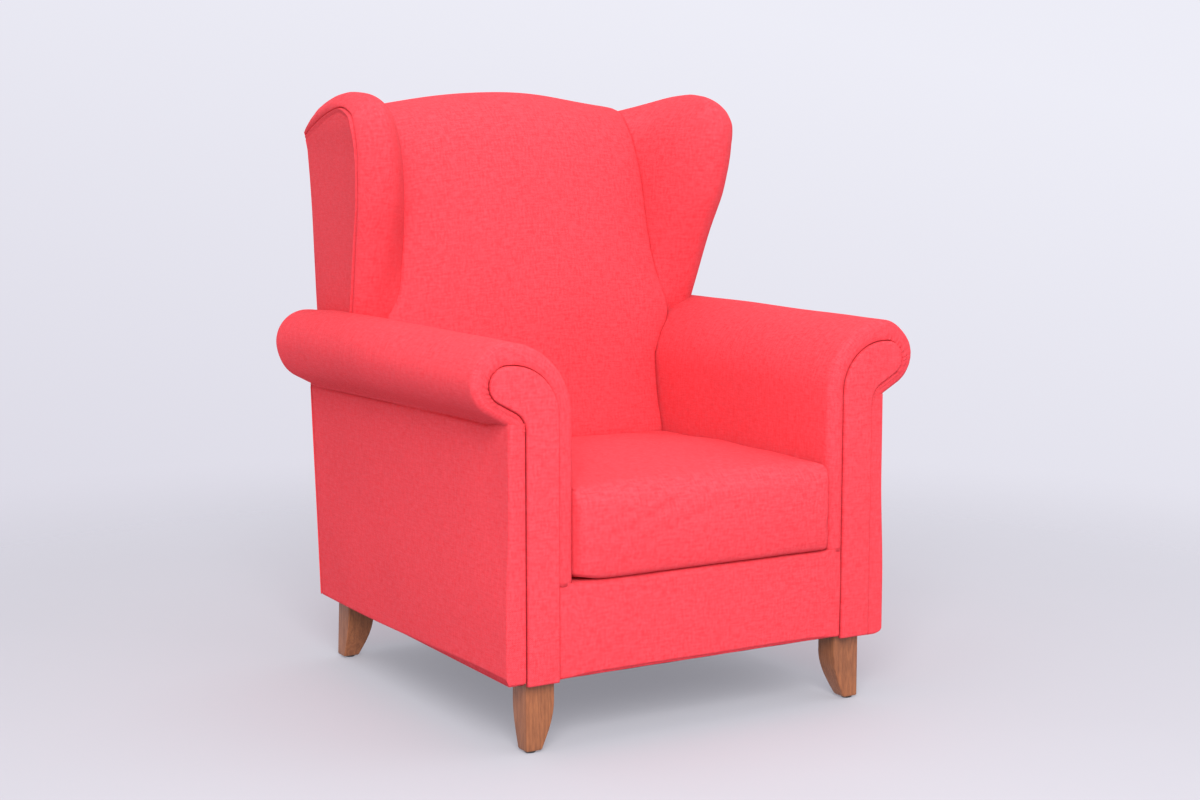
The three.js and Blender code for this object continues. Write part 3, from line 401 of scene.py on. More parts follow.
def cut_panel(name: str, loop: Array, spacing: float, edge: EdgeShape,
              place: Callable[[Array, Array], Array]) -> bpy.types.Object:
    """Makes a padded panel of any outline from a flat pattern.

    Args:
        name: Name of the piece.
        loop: The pattern's outline, as rows of two coordinates in metres.
        spacing: Distance between the points within it.
        edge: Shape of its edge.
        place: Turns pattern points and their depth behind the face plane into places in the chair.

    Returns:
        The new object.
    """
    closed = np.vstack([loop, loop[:1]])
    loop = resampled(closed, max(24, int(lengths_along(closed)[-1] / RIM_SPACING)))[:-1]
    bounds = zip(loop.min(axis=0), loop.max(axis=0))
    ticks = [np.arange(low + spacing / 2, high, spacing) for low, high in bounds]
    grid = np.stack(np.meshgrid(*ticks), axis=-1).reshape(-1, 2)
    grid = grid[is_inside(grid, loop)]
    rings = []
    for share in RIM_SHARES:
        ring = inset_loop(loop, edge.width * share)
        ring = ring[is_inside(ring, loop)]
        rings.append(ring[inside_distance(ring, loop) > 0.8 * edge.width * share])
    inner = grid[inside_distance(grid, loop) > edge.width + 0.4 * spacing]
    count = len(loop)
    sides = [(i, (i + 1) % count) for i in range(count)]
    corners = [Vector(point) for point in np.vstack([loop, *rings, inner])]
    made = delaunay_2d_cdt(corners, sides, [list(range(count))], 1, 1e-6)
    points = np.array([tuple(point) for point in made[0]])
    triangles = [tuple(face) for face in made[2]]
    distance = inside_distance(points, loop)
    depth = roll_off(distance, edge.width, edge.depth)
    depth -= edge.crown * (1.0 - np.exp(-distance / edge.crown_width))
    on_loop: dict[int, int] = {}
    for index in np.where(distance < 1e-6)[0]:
        nearest = int(((loop - points[index]) ** 2).sum(axis=1).argmin())
        on_loop.setdefault(nearest, int(index))
    order = [on_loop[i] for i in sorted(on_loop)]
    total = len(points)
    faces = triangles + [tuple(i + total for i in reversed(face)) for face in triangles]
    used = {frozenset((a, b)): (a, b) for f in triangles for a, b in zip(f, f[1:] + f[:1])}
    for a, b in zip(order, order[1:] + order[:1]):
        a, b = used.get(frozenset((a, b)), (a, b))
        faces.append((b, a, a + total, b + total))
    both = np.vstack([place(points, depth), place(points, np.full(total, edge.thickness))])
    return outward(name, both, faces, np.vstack([points, points]))


def apply_modifiers(obj: bpy.types.Object) -> None:
    """Replaces an object's mesh by its shape with modifiers."""
    evaluated = obj.evaluated_get(bpy.context.evaluated_depsgraph_get())
    mesh = bpy.data.meshes.new_from_object(evaluated)
    obj.modifiers.clear()
    obj.data = mesh
    mesh.shade_smooth()


# Finishes


class Nodes:
    """A small helper that adds and links shader nodes in one tree."""

    def __init__(self, tree: bpy.types.NodeTree) -> None:
        """Keeps the tree and clears it."""
        self.tree = tree
        tree.nodes.clear()

    def feed(self, node: bpy.types.Node, inputs: dict) -> None:
        """Links or sets inputs of a node."""
        for key, value in inputs.items():
            if isinstance(value, bpy.types.NodeSocket):
                self.tree.links.new(value, node.inputs[key])
            else:
                node.inputs[key].default_value = value

    def add(self, kind: str, inputs: dict | None = None, **settings: object) -> bpy.types.Node:
        """Adds a node, sets its properties and feeds its inputs."""
        node = self.tree.nodes.new(kind)
        for key, value in settings.items():
            setattr(node, key, value)
        self.feed(node, inputs or {})
        return node

    def math(self, operation: str, *values: object, clamp: bool = False) -> bpy.types.NodeSocket:
        """The output of a Math node."""
        inputs = dict(enumerate(values))
        return self.add("ShaderNodeMath", inputs, operation=operation, use_clamp=clamp).outputs[0]

    def plus(self, first: object, second: object, clamp: bool = False) -> bpy.types.NodeSocket:
        """A sum."""
        return self.math("ADD", first, second, clamp=clamp)

    def minus(self, first: object, second: object) -> bpy.types.NodeSocket:
        """A difference."""
        return self.math("SUBTRACT", first, second)

    def times(self, first: object, second: object) -> bpy.types.NodeSocket:
        """A product."""
        return self.math("MULTIPLY", first, second)

    def noise(self, vector: object, scale: float, detail: float,
              roughness: float = 0.5) -> bpy.types.NodeSocket:
        """The value of a Noise node."""
        inputs = {"Vector": vector, "Scale": scale, "Detail": detail, "Roughness": roughness}
        return self.add("ShaderNodeTexNoise", inputs).outputs["Fac"]

    def mapped(self, value: object, low: float, high: float, new_low: float, new_high: float,
               kind: str = "LINEAR") -> bpy.types.NodeSocket:
        """A value moved from one range to another and held within it."""
        inputs = {"Value": value, "From Min": low, "From Max": high, "To Min": new_low, "To Max": new_high}
        return self.add("ShaderNodeMapRange", inputs, interpolation_type=kind).outputs["Result"]

    def mix(self, share: object, first: object, second: object) -> bpy.types.NodeSocket:
        """The colour between two colours."""
        return self.add("ShaderNodeMix", {0: share, 6: first, 7: second}, data_type="RGBA").outputs[2]

    def shaded(self, colour: object, level: object) -> bpy.types.NodeSocket:
        """A colour made lighter or darker."""
        return self.add("ShaderNodeVectorMath", {0: colour, "Scale": level}, operation="SCALE").outputs[0]

    def place(self) -> bpy.types.NodeSocket:
        """The place on the object."""
        return self.add("ShaderNodeTexCoord").outputs["Object"]


FLOAT, COLOUR, VECTOR = "NodeSocketFloat", "NodeSocketColor", "NodeSocketVector"
SURFACE = {"Color": COLOUR, "Roughness": FLOAT, "Height": FLOAT}


def new_group(name: str, inputs: dict[str, tuple[str, object]]) -> tuple:
    """Makes an empty shader node group that gives a colour, a roughness and a height.

    Args:
        name: Name of the group.
        inputs: Socket type and default for each input.

    Returns:
        The group's helper, its input sockets and its output node.
    """
    tree = bpy.data.node_groups.new(name, "ShaderNodeTree")
    for key, (kind, default) in inputs.items():
        socket = tree.interface.new_socket(name=key, in_out="INPUT", socket_type=kind)
        if default is not None:
            socket.default_value = default
    for key, kind in SURFACE.items():
        tree.interface.new_socket(name=key, in_out="OUTPUT", socket_type=kind)
    nodes = Nodes(tree)
    return nodes, nodes.add("NodeGroupInput").outputs, nodes.add("NodeGroupOutput")


@cache
def weave_group() -> bpy.types.NodeTree:
    """Plain weave: crossing threads with slubs and streaks, with painted shade in the hollows between the
    threads.
    """
    n, entry, leave = new_group("plain_weave", {
        "Cloth": (VECTOR, None), "Place": (VECTOR, None), "Threads": (FLOAT, 700.0),
        "Warp": (COLOUR, (1, 0, 0, 1)), "Weft": (COLOUR, (1, 0, 0, 1)), "Slub": (FLOAT, 0.5),
        "Fade": (FLOAT, 0.3)})
    cloth, place = entry["Cloth"], entry["Place"]
    split = n.add("ShaderNodeSeparateXYZ", {0: cloth}).outputs
    drift = n.times(n.minus(n.noise(cloth, 90.0, 1.0), 0.5), 0.0016)
    across, along = (n.times(n.plus(value, drift), entry["Threads"]) for value in (split[0], split[1]))

    def drawn_out(across_share: float, along_share: float, *noise: float) -> bpy.types.NodeSocket:
        """Noise that follows the threads."""
        inputs = {0: n.times(across, across_share), 1: n.times(along, along_share)}
        return n.noise(n.add("ShaderNodeCombineXYZ", inputs).outputs[0], *noise)

    sines = [n.math("SINE", n.times(value, math.pi)) for value in (across, along)]
    over = n.math("GREATER_THAN", n.times(*sines), 0.0)
    under = n.minus(1.0, over)
    warp, weft = (n.math("ABSOLUTE", value) for value in sines)
    height = n.plus(n.times(warp, over), n.times(weft, under))
    slub = n.plus(n.times(drawn_out(1.0, 0.06, 0.9, 2.0, 0.6), over),
                  n.times(drawn_out(0.06, 1.0, 0.9, 2.0, 0.6), under))
    streak = n.plus(drawn_out(0.42, 0.10, 1.0, 3.0, 0.75), drawn_out(0.09, 0.38, 1.0, 3.0, 0.75))
    share = n.plus(n.mapped(streak, 0.78, 1.22, 0.0, 0.72), n.times(over, 0.28), clamp=True)
    shade = n.minus(n.mapped(slub, 0.25, 0.75, 0.78, 1.22), 1.0)
    # The colour darkens where the thread height is low: painted shade in the hollows between the threads.
    level = n.times(n.plus(1.0, n.times(shade, entry["Slub"])), n.mapped(height, 0.0, 0.75, 0.82, 1.0))
    level = n.times(level, n.mapped(n.noise(place, 5.0, 3.0), 0.3, 0.7, 0.975, 1.025))
    colour = n.shaded(n.mix(share, entry["Weft"], entry["Warp"]), level)
    fuzz = n.times(n.mapped(n.noise(place, 420.0, 2.0), 0.5, 0.8, 0.0, 1.0), entry["Fade"])
    n.feed(leave, {"Color": n.mix(fuzz, colour, (1.0, 0.42, 0.44, 1.0)),
                   "Roughness": n.mapped(height, 0.0, 1.0, 0.95, 0.8),
                   "Height": n.plus(height, n.times(slub, 0.8))})
    return n.tree


@cache
def grain_group() -> bpy.types.NodeTree:
    """Straight timber grain along Z, with growth rings and pores."""
    n, entry, leave = new_group("timber_grain", {
        "Place": (VECTOR, None), "Pale": (COLOUR, (1, 1, 1, 1)), "Dark": (COLOUR, (0, 0, 0, 1)),
        "Rings": (FLOAT, 90.0), "Gloss": (FLOAT, 0.4)})
    stretch = {0: entry["Place"], 1: (1.0, 1.0, 0.07)}
    drawn = n.add("ShaderNodeVectorMath", stretch, operation="MULTIPLY").outputs[0]
    lines = n.math("SINE", n.times(n.noise(drawn, 28.0, 3.0), entry["Rings"]))
    pores = n.mapped(n.noise(drawn, 900.0, 2.0, 0.6), 0.4, 0.62, 1.0, 0.0)
    share = n.plus(n.times(n.mapped(lines, -1.0, 1.0, 0.0, 1.0), 0.45), n.times(pores, 0.5), clamp=True)
    cloud = n.mapped(n.noise(entry["Place"], 14.0, 2.0), 0.3, 0.7, 0.88, 1.1)
    n.feed(leave, {"Color": n.shaded(n.mix(share, entry["Pale"], entry["Dark"]), cloud),
                   "Roughness": n.plus(entry["Gloss"], n.times(share, 0.12)), "Height": n.times(share, -1.0)})
    return n.tree


def finish_material(name: str, build: Callable[[Nodes], dict], bump: float,
                    settings: dict) -> bpy.types.Material:
    """Makes a material round one Principled shader.

    Args:
        name: Name of the material.
        build: Adds the nodes and gives the sockets for the shader, with Height for its bump.
        bump: The bump's distance.
        settings: Constant values for the shader.

    Returns:
        The new material.
    """
    material = bpy.data.materials.new(name)
    material.use_nodes = True
    n = Nodes(material.node_tree)
    output = n.add("ShaderNodeOutputMaterial")
    shader = n.add("ShaderNodeBsdfPrincipled", settings)
    n.feed(output, {"Surface": shader.outputs[0]})
    sockets = build(n)
    if "Height" in sockets:
        inputs = {"Height": sockets.pop("Height"), "Strength": 1.0, "Distance": bump}
        sockets["Normal"] = n.add("ShaderNodeBump", inputs).outputs[0]
    n.feed(shader, sockets)
    return material


def group_surface(n: Nodes, tree: bpy.types.NodeTree, inputs: dict) -> dict:
    """The shader's sockets from a shared group at the object's place."""
    made = n.add("ShaderNodeGroup", {"Place": n.place(), **inputs}, node_tree=tree).outputs
    return {"Base Color": made["Color"], "Roughness": made["Roughness"], "Height": made["Height"]}


Colour = tuple[float, float, float]


@dataclass(frozen=True)
class WovenCloth:
    """A plain woven cloth."""

    name: str
    warp: Colour
    weft: Colour
    threads: float = 640.0
    slub: float = 0.45
    fade: float = 0.035
    sheen: float = 0.08
    bump: float = 0.00035

    def material(self) -> bpy.types.Material:
        """Builds the cloth's material."""
        def build(n: Nodes) -> dict:
            """Feeds the weave with the cloth coordinates."""
            cloth = n.add("ShaderNodeUVMap", uv_map="cloth").outputs[0]
            return group_surface(n, weave_group(), {
                "Cloth": cloth, "Threads": self.threads, "Slub": self.slub, "Fade": self.fade,
                "Warp": (*self.warp, 1.0), "Weft": (*self.weft, 1.0)})
        return finish_material(self.name, build, self.bump, {
            "Sheen Weight": self.sheen, "Sheen Roughness": 0.5, "Sheen Tint": (1.0, 0.22, 0.26, 1.0),
            "Specular IOR Level": 0.08})


@dataclass(frozen=True)
class Timber:
    """A planed wood, stained or bare."""

    name: str
    pale: Colour
    dark: Colour
    gloss: float = 0.38
    coat: float = 0.0
    rings: float = 90.0
    bump: float = 0.00015

    def material(self) -> bpy.types.Material:
        """Builds the wood's material."""
        def build(n: Nodes) -> dict:
            """Feeds the grain."""
            return group_surface(n, grain_group(), {
                "Pale": (*self.pale, 1.0), "Dark": (*self.dark, 1.0), "Gloss": self.gloss,
                "Rings": self.rings})
        coat = {"Coat Weight": self.coat, "Coat Roughness": 0.25}
        return finish_material(self.name, build, self.bump, coat)


@dataclass(frozen=True)
class Speckled:
    """A metal, plastic or foam with fine unevenness in tone and gloss."""

    name: str
    colour: Colour
    metallic: float = 0.0
    roughness: float = 0.5
    grain: float = 300.0
    spread: float = 0.1
    bump: float = 0.0001

    def material(self) -> bpy.types.Material:
        """Builds the material."""
        def build(n: Nodes) -> dict:
            """Varies the tone, the roughness and the height by noise."""
            place, half = n.place(), self.spread / 2
            fine = n.noise(place, self.grain, 3.0)
            both = n.plus(fine, n.noise(place, self.grain / 20.0, 2.0))
            level = n.mapped(both, 0.7, 1.3, 1.0 - self.spread, 1.0 + self.spread)
            rough = n.mapped(fine, 0.3, 0.7, self.roughness - half, self.roughness + half)
            return {"Base Color": n.shaded(self.colour, level), "Roughness": rough, "Height": fine}
        return finish_material(self.name, build, self.bump, {"Metallic": self.metallic})


Finish = WovenCloth | Timber | Speckled
CORAL_CLOTH = WovenCloth("coral_wool_cloth", warp=(0.81, 0.082, 0.106), weft=(0.79, 0.036, 0.051))
LINING_CLOTH = WovenCloth("platform_lining", warp=(0.62, 0.05, 0.07), weft=(0.52, 0.04, 0.06), threads=900.0)
DUST_CLOTH = WovenCloth("black_dust_cloth", warp=(0.022, 0.022, 0.024), weft=(0.016, 0.016, 0.018),
                        threads=1400.0, slub=0.5, fade=0.0, sheen=0.05)
WEBBING_CLOTH = WovenCloth("back_webbing", warp=(0.42, 0.33, 0.19), weft=(0.24, 0.18, 0.1), threads=420.0,
                           fade=0.0, sheen=0.1)
ZIP_TAPE = WovenCloth("zip_tape", warp=(0.55, 0.05, 0.07), weft=(0.48, 0.04, 0.06), threads=1600.0)
LEG_WOOD = Timber("stained_leg_wood", pale=(0.33, 0.112, 0.040), dark=(0.19, 0.058, 0.020), coat=0.10)
FRAME_WOOD = Timber("frame_hardwood", pale=(0.62, 0.42, 0.22), dark=(0.42, 0.25, 0.11), gloss=0.7, rings=60.0)
SPRING_STEEL = Speckled("spring_wire", (0.36, 0.36, 0.38), metallic=1.0, roughness=0.4)
ZINC_STEEL = Speckled("zinc_plated_steel", (0.62, 0.62, 0.60), metallic=1.0, roughness=0.35)
GLIDE_PLASTIC = Speckled("glide_plastic", (0.035, 0.03, 0.028), roughness=0.5)
ZIP_PLASTIC = Speckled("zip_coil", (0.50, 0.04, 0.06), roughness=0.4)
CUSHION_FOAM = Speckled("cushion_foam", (0.78, 0.72, 0.52), roughness=0.9, grain=700.0, spread=0.2,
                        bump=0.0006)


@cache
def material_of(finish: Finish) -> bpy.types.Material:
    """The material of a finish, built on its first use."""
    return finish.material()


def dress(obj: bpy.types.Object, finish: Finish) -> None:
    """Gives an object one finish in all its slots."""
    slots = obj.data.materials
    if not slots:
        slots.append(material_of(finish))
    for index in range(len(slots)):
        slots[index] = material_of(finish)


@dataclass(frozen=True)
class Fitting:
    """How a piece belongs to the chair."""

    finish: Finish
    slot: str
    body: Body = Body.CHAIR
    fill: float | None = None


UPHOLSTERY = Fitting(CORAL_CLOTH, "upholstery_fabric", fill=0.8)


def fit(piece: bpy.types.Object, fitting: Fitting, *nodes: str) -> None:
    """Dresses a piece, lets it ride on its body and says what it stands for.

    Args:
        piece: The piece in its place.
        fitting: Its finish, slot, body and fill.
        nodes: The CAD nodes that it replaces.
    """
    dress(piece, fitting.finish)
    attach(piece, fitting.body.value)
    if nodes:
        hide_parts(*nodes)
    LOG.info("%s: %d points, for %s", piece.name, len(piece.data.vertices), ", ".join(nodes) or "nothing")


# Scroll arm


@dataclass(frozen=True)
class Margins:
    """How far an outline is drawn in from the outside of the arm."""

    side: float
    top: float
    outer: float
    neck: float

    def blend(self, other: "Margins", share: float) -> "Margins":
        """Margins part of the way to others."""
        return Margins(*(a + (b - a) * share for a, b in zip(astuple(self), astuple(other))))

    def less(self, inset: float, at_neck: float) -> "Margins":
        """Margins that are smaller by an inset, and at the neck by another."""
        return Margins(self.side - inset, self.top - inset, self.outer - inset, self.neck - at_neck)


FACING_MARGINS = Margins(side=0.0285, top=0.035, outer=0.022, neck=0.035)


@dataclass
class ScrollArm:
    """One arm: its roll and inside, its scroll facing and its outside panel."""

    side: Side
    edge_radius: float = 0.014
    neck_radius: float = 0.009
    rear_radius: float = 0.027
    droop: float = 0.009
    seam_fall: float = 0.012
    shoulder: float = 0.004
    cover_bottom_z: float = 0.264
    facing_bottom_z: float = 0.113
    seam_depth: float = 0.0036
    gather: float = 0.0015
    panel_lap: float = 0.0068

    @property
    def corner_fall(self) -> float:
        """How much lower the outside panel hangs at its front corner."""
        return 0.0110 if self.side is Side.RIGHT else 0.0048

    def even(self, inset: float) -> Margins:
        """Margins that are the same all round."""
        return Margins(inset, inset, inset, self.neck_radius + inset)

    def scroll(self, m: Margins, bottom: float) -> tuple[Array, Array]:
        """The arm's section, open at the neck.

        Args:
            m: Margins from the outside.
            bottom: Height of its inner end.

        Returns:
            Points as (x, z), and how strongly each lies on the tight turn of the roll.
        """
        s = SIZES
        sweep, roll = s.sweep_radius - m.top, s.roll_radius - m.side
        top = s.arm_top_z - m.top
        inner, outer = s.arm_inner_x + m.side, s.arm_outer_x - m.outer
        roll_x = s.roll_outer_x - m.side - roll
        under = math.radians(s.undercut_deg)
        leave_x, leave_z = roll_x + roll * math.sin(under), top - roll - roll * math.cos(under)
        corner = leave_z - (leave_x - outer) * math.tan(under)
        tangent = m.neck * math.tan((math.pi / 2 - under) / 2)
        line = stacked(inner, np.linspace(bottom, top - sweep, 26))[:-1]
        over = arc((inner + sweep, top - sweep), sweep, 180.0, 90.0, 44)[:-1]
        turn = arc((roll_x, top - roll), roll, 90.0, s.undercut_deg - 90.0, 62)
        neck = arc((outer + m.neck, corner - tangent), m.neck, 90.0 + s.undercut_deg, 180.0, 20)
        straight = np.linspace(turn[-1], neck[0], 8)[1:-1]
        tight = (np.zeros(len(line)), np.linspace(0.0, 0.8, len(over)) ** 3, np.ones(len(turn)),
                 np.full(len(straight), 0.8), np.full(len(neck), 0.7))
        return np.vstack([line, over, turn, straight, neck]), np.concatenate(tight)

    def ring(self, m: Margins, y: float | Callable[[Array], Array], bottom: float, hide: float) -> Array:
        """A closed ring of the arm: the open section, tucked in behind the outside panel and closed below."""
        section, _ = self.scroll(m, bottom)
        x, z = section[-1]
        tuck = [(x - 0.002, z - 0.001), (x - 0.008, z - 0.004)]
        down = [(x - 0.009, height) for height in np.linspace(z - 0.02, bottom + 0.004, 10)]
        across = [(place, bottom) for place in np.linspace(x - 0.012, section[0][0] + 0.004, 8)]
        points = np.vstack([section, tuck, down, across])
        depth = y(points[:, 1]) if callable(y) else y
        hidden = np.where(np.arange(len(points)) >= len(section), hide, 0.0)
        return stacked(points[:, 0], depth + hidden, points[:, 1])

    def cover_rings(self) -> Array:
        """The rings of the roll and inside arm from the facing's seam to the closed rear end."""
        s = SIZES
        inner, bottom = FACING_MARGINS, self.cover_bottom_z
        lip, edge, none = inner.less(0.003, 0.003), self.even(self.edge_radius), self.even(0.0)
        border, behind = s.front_y + s.border_y, s.front_y + 0.0114
        rings = [self.ring(m, behind, bottom, 0.0) for m in (inner.blend(self.even(0.046), 0.5), inner)]
        for share in np.linspace(0.0, 1.0, 6):
            drop = self.seam_depth * (1.0 - float(quarter(share)))
            rings.append(self.ring(inner.less(0.0004, 0.0).blend(lip, share), border + drop, bottom, 0.004))
        for share in np.linspace(0.0, 1.0, 12)[1:]:
            puff = -0.0012 * math.sin(math.pi * share)
            rings.append(self.ring(lip.blend(edge, share), border + puff, bottom, 0.006))
        for angle in np.linspace(0.0, 90.0, 9)[1:]:
            turn = math.radians(angle)
            y = border + self.edge_radius * (1.0 - math.cos(turn))
            rings.append(self.ring(edge.blend(none, math.sin(turn)), y, bottom, 0.006 * (1.0 - angle / 90.0)))
        start_y = border + self.edge_radius
        for share in np.linspace(0.0, 1.0, 110)[1:]:
            rings.append(self.ring(none, lambda z, k=share: start_y + k * (
                s.rear_plane_y(z) - s.panel_depth - self.rear_radius - start_y), bottom, 0.0))
        return np.array(rings + self.rear_rings(rings[-1]))

    def rear_rings(self, start: Array) -> list[Array]:
        """Rounds the rear end: the ring shrinks, but hardly where the outside panel meets it."""
        s = SIZES
        flat = start[:, [0, 2]]
        section, tight = self.scroll(self.even(0.0), self.cover_bottom_z)
        run = lengths_along(section)
        turned = run[np.flatnonzero(tight == 1.0)[-1]]
        hold = np.zeros(len(flat))
        hold[:len(section)] = 1.0 - 0.9 * smoothstep(turned - 0.010, run[-1], run)
        hold[-8:] = np.linspace(0.0, 1.0, 8)
        inward = inset_loop(flat, 1.0) - flat
        rings = []
        for turn in np.radians(np.linspace(0.0, 90.0, 14)[1:]):
            moved = flat + inward * (hold * self.rear_radius * (1.0 - math.cos(turn)))[:, None]
            y = s.rear_plane_y(moved[:, 1]) - s.panel_depth - self.rear_radius * (1.0 - math.sin(turn))
            rings.append(stacked(moved[:, 0], y, moved[:, 1]))
        return rings

    def settle(self, points: Array) -> Array:
        """Lets the rear of the roll droop, flattens its outer shoulder and adds slight unevenness."""
        s = SIZES
        p = points.copy()
        y, z = p[..., 1], p[..., 2]
        out = (p - (s.roll_outer_x - s.roll_radius, 0.0, s.arm_top_z - s.roll_radius)) * (1.0, 0.0, 1.0)
        reach = np.linalg.norm(out, axis=-1)
        out /= np.maximum(reach[..., None], 1e-6)
        turn = np.degrees(np.arctan2(out[..., 2], out[..., 0]))
        pull = self.shoulder * bell(turn, 45.0, 30.0) * np.clip(reach / s.roll_radius, 0.0, 1.0) ** 2
        pull *= 1.0 - smoothstep(s.front_y + 0.12, s.front_y + 0.45, y)
        p[..., 2] -= self.droop * smoothstep(0.12, 0.42, y) ** 1.5 * smoothstep(0.46, 0.60, z)
        under = smoothstep(0.44, 0.505, z) * (1.0 - smoothstep(0.53, 0.58, z))
        under *= smoothstep(0.33, 0.36, p[..., 0])
        p[..., 2] -= self.seam_fall * smoothstep(s.front_y + 0.05, s.rear_top_y, y) * under
        lift = 0.0007 * swell(p, 0.16, 11) * smoothstep(s.front_y + 0.03, s.front_y + 0.12, y)
        return p + out * (lift - pull)[..., None]

    def cover(self) -> None:
        """The roll, the inside of the arm and the border round the facing, gathered at its seam."""
        rings = self.cover_rings()
        section, tight = self.scroll(FACING_MARGINS, self.cover_bottom_z)
        run = lengths_along(section)
        rng = np.random.default_rng(7 if self.side is Side.RIGHT else 9)
        wander = np.interp(run, np.linspace(0, run[-1], 60), rng.normal(0.0, 1.0, 60))
        phase = 2 * math.pi * run / 0.0078 + 1.3 * wander
        uneven = np.interp(run, np.linspace(0, run[-1], 30), rng.uniform(0.1, 1.0, 30))
        gathers = self.gather * tight * (0.55 + 0.45 * uneven) * np.sin(phase)
        for index in range(2, 24):
            away = max(0.0, (index - 6) / 11.0)
            strength = math.exp(-away * away) * (0.3 if index < 4 else 1.0)
            rings[index, :len(section), 1] += gathers * strength
        rings = self.settle(rings)
        uv = np.stack(np.meshgrid(lengths_along(rings[60][:, [0, 2]]), lengths_along(rings[:, 70])), axis=-1)
        piece = closed_loft(f"arm_cover_padding_{self.side.suffix}", mirrored(rings, self.side), uv, True)
        fit(piece, UPHOLSTERY, f"arm_cover_{self.side.suffix}")

    def facing(self) -> None:
        """The padded scroll on the front of the arm."""
        section, _ = self.scroll(FACING_MARGINS, self.facing_bottom_z)
        loop = np.vstack([section, (section[-1][0], self.facing_bottom_z)])
        edge = EdgeShape(width=0.0036, depth=0.0046, crown=0.0014, crown_width=0.014, thickness=0.0112)

        def place(flat: Array, depth: Array) -> Array:
            """Stands the pattern up in the plane of the facing."""
            ripple = 0.0003 * swell(flat[:, [0, 1, 0]], 0.06, 5)
            y = SIZES.front_y + 0.0004 + depth + np.where(depth < 0.009, ripple, 0.0)
            return mirrored(stacked(flat[:, 0], y, flat[:, 1]), self.side)

        name = f"arm_scroll_facing_{self.side.suffix}"
        piece = cut_panel(name, inset_loop(loop, 0.0003), 0.006, edge, place)
        fit(piece, UPHOLSTERY, f"arm_facing_{self.side.suffix}")

    @staticmethod
    def panel_path(share: float) -> Array:
        """The outside panel in plan, behind the front plane, at a share of its height.

        Args:
            share: 0 at its hem and 1 at its top.

        Returns:
            Points as (x, depth) from its seam with the facing round the corner to its rear end.
        """
        s = SIZES
        corner, turn = 0.0055 + 0.0015 * share, 0.006
        front_x = 0.3590 + 0.0055 * (1.0 - float(smoothstep(0.22, 0.66, share)))
        rear_x = 0.3505 + (s.arm_outer_x - 0.001 - 0.3505) * float(smoothstep(0.85, 1.0, share))
        rear = float(s.rear_plane_y(0.115 + share * 0.395)) - s.front_y - 0.0048
        lip = arc((0.3340, 0.0095), 0.0035, 180.0, 270.0, 5)
        strip = np.linspace((0.3345, turn), (front_x - corner, turn), 8)[1:-1]
        bend = arc((front_x - corner, turn + corner), corner, -90.0, 0.0, 9)
        along = np.linspace((front_x, turn + corner), (rear_x, rear - turn), 92)[1:]
        close = arc((rear_x - turn, rear - turn), turn, 0.0, 90.0, 5)[1:]
        return np.vstack([(0.3305, 0.0112), lip, strip, bend, along, close, (rear_x - 2 * turn, rear)])

    def outside(self) -> None:
        """The outside panel, from the facing's seam round the corner to the back."""
        front = SIZES.front_y
        turn_y, tip = ((0.008, 0.03), 0.005) if self.side is Side.RIGHT else ((0.006, 0.013), 0.0)
        heights = np.concatenate([np.linspace(0.0, 0.010, 6)[:-1], np.linspace(0.010, 0.390, 60),
                                  0.400 - np.linspace(0.010, 0.0, 9)[1:]]) / 0.400
        face, back = [], []
        for turned, share in [(0.014, 0.0), (0.0052, 0.0), *((None, share) for share in heights)]:
            path = self.panel_path(share)
            x, y = path.T
            rear = y[-1]
            tangent = np.gradient(path, axis=0)
            normal = unit(stacked(tangent[:, 1], -tangent[:, 0]))
            low = 0.1215 - 0.0085 * smoothstep(0.10, 0.60, y)
            low -= self.corner_fall * (1.0 - smoothstep(*turn_y, y))
            low += 0.0030 * smoothstep(0.006, 0.013, y) * (1.0 - smoothstep(0.05, 0.35, y))
            low += tip * bell(np.hypot(x - x.max(), y - 0.006), 0.0, 0.008)
            if turned is not None:
                under = path - normal * turned
                under_y = front + np.minimum(under[:, 1], rear)
                row = stacked(under[:, 0], under_y, np.minimum(low, SIZES.hem_z))
                face.append(row)
                back.append(row + (0.0, 0.0, 0.0006))
                continue
            top = 0.5148 - 0.0125 * smoothstep(0.06, 0.84, y) + 0.0100 * (1.0 - smoothstep(0.02, 0.10, y))
            z = low + (top - low) * share
            inset = roll_off(z - low, 0.006, 0.0052)
            inset += smoothstep(0.020, 0.070, y) * roll_off(top - z, 0.008, 0.0062)
            along = np.sin(math.pi * np.clip((y - 0.02) / 0.74, 0, 1))
            bulge = 0.0032 * along * math.sin(math.pi * min(share * 1.02, 1.0))
            bulge += 0.0006 * swell(stacked(x, y, z), 0.2, 21) * smoothstep(0.02, 0.12, y)
            flat, inner = path - normal * (inset - bulge)[:, None], path - normal * self.panel_lap
            inner_y = np.maximum(np.minimum(inner[:, 1], rear - 0.0005), 0.0113)
            face.append(stacked(flat[:, 0], front + flat[:, 1], z))
            back.append(stacked(np.maximum(inner[:, 0], 0.3312), front + inner_y, z))
        rows = [mirrored(np.array(grid), self.side) for grid in (face, back)]
        uv = stacked(lengths_along(face[30][:, :2]), rows[0][..., 2])
        piece = padded_shell(f"arm_outside_panel_{self.side.suffix}", *rows, uv)
        fit(piece, UPHOLSTERY, f"outside_arm_{self.side.suffix}")

    def build(self) -> None:
        """Makes every piece of the arm."""
        self.cover()
        self.facing()
        self.outside()


# Wing


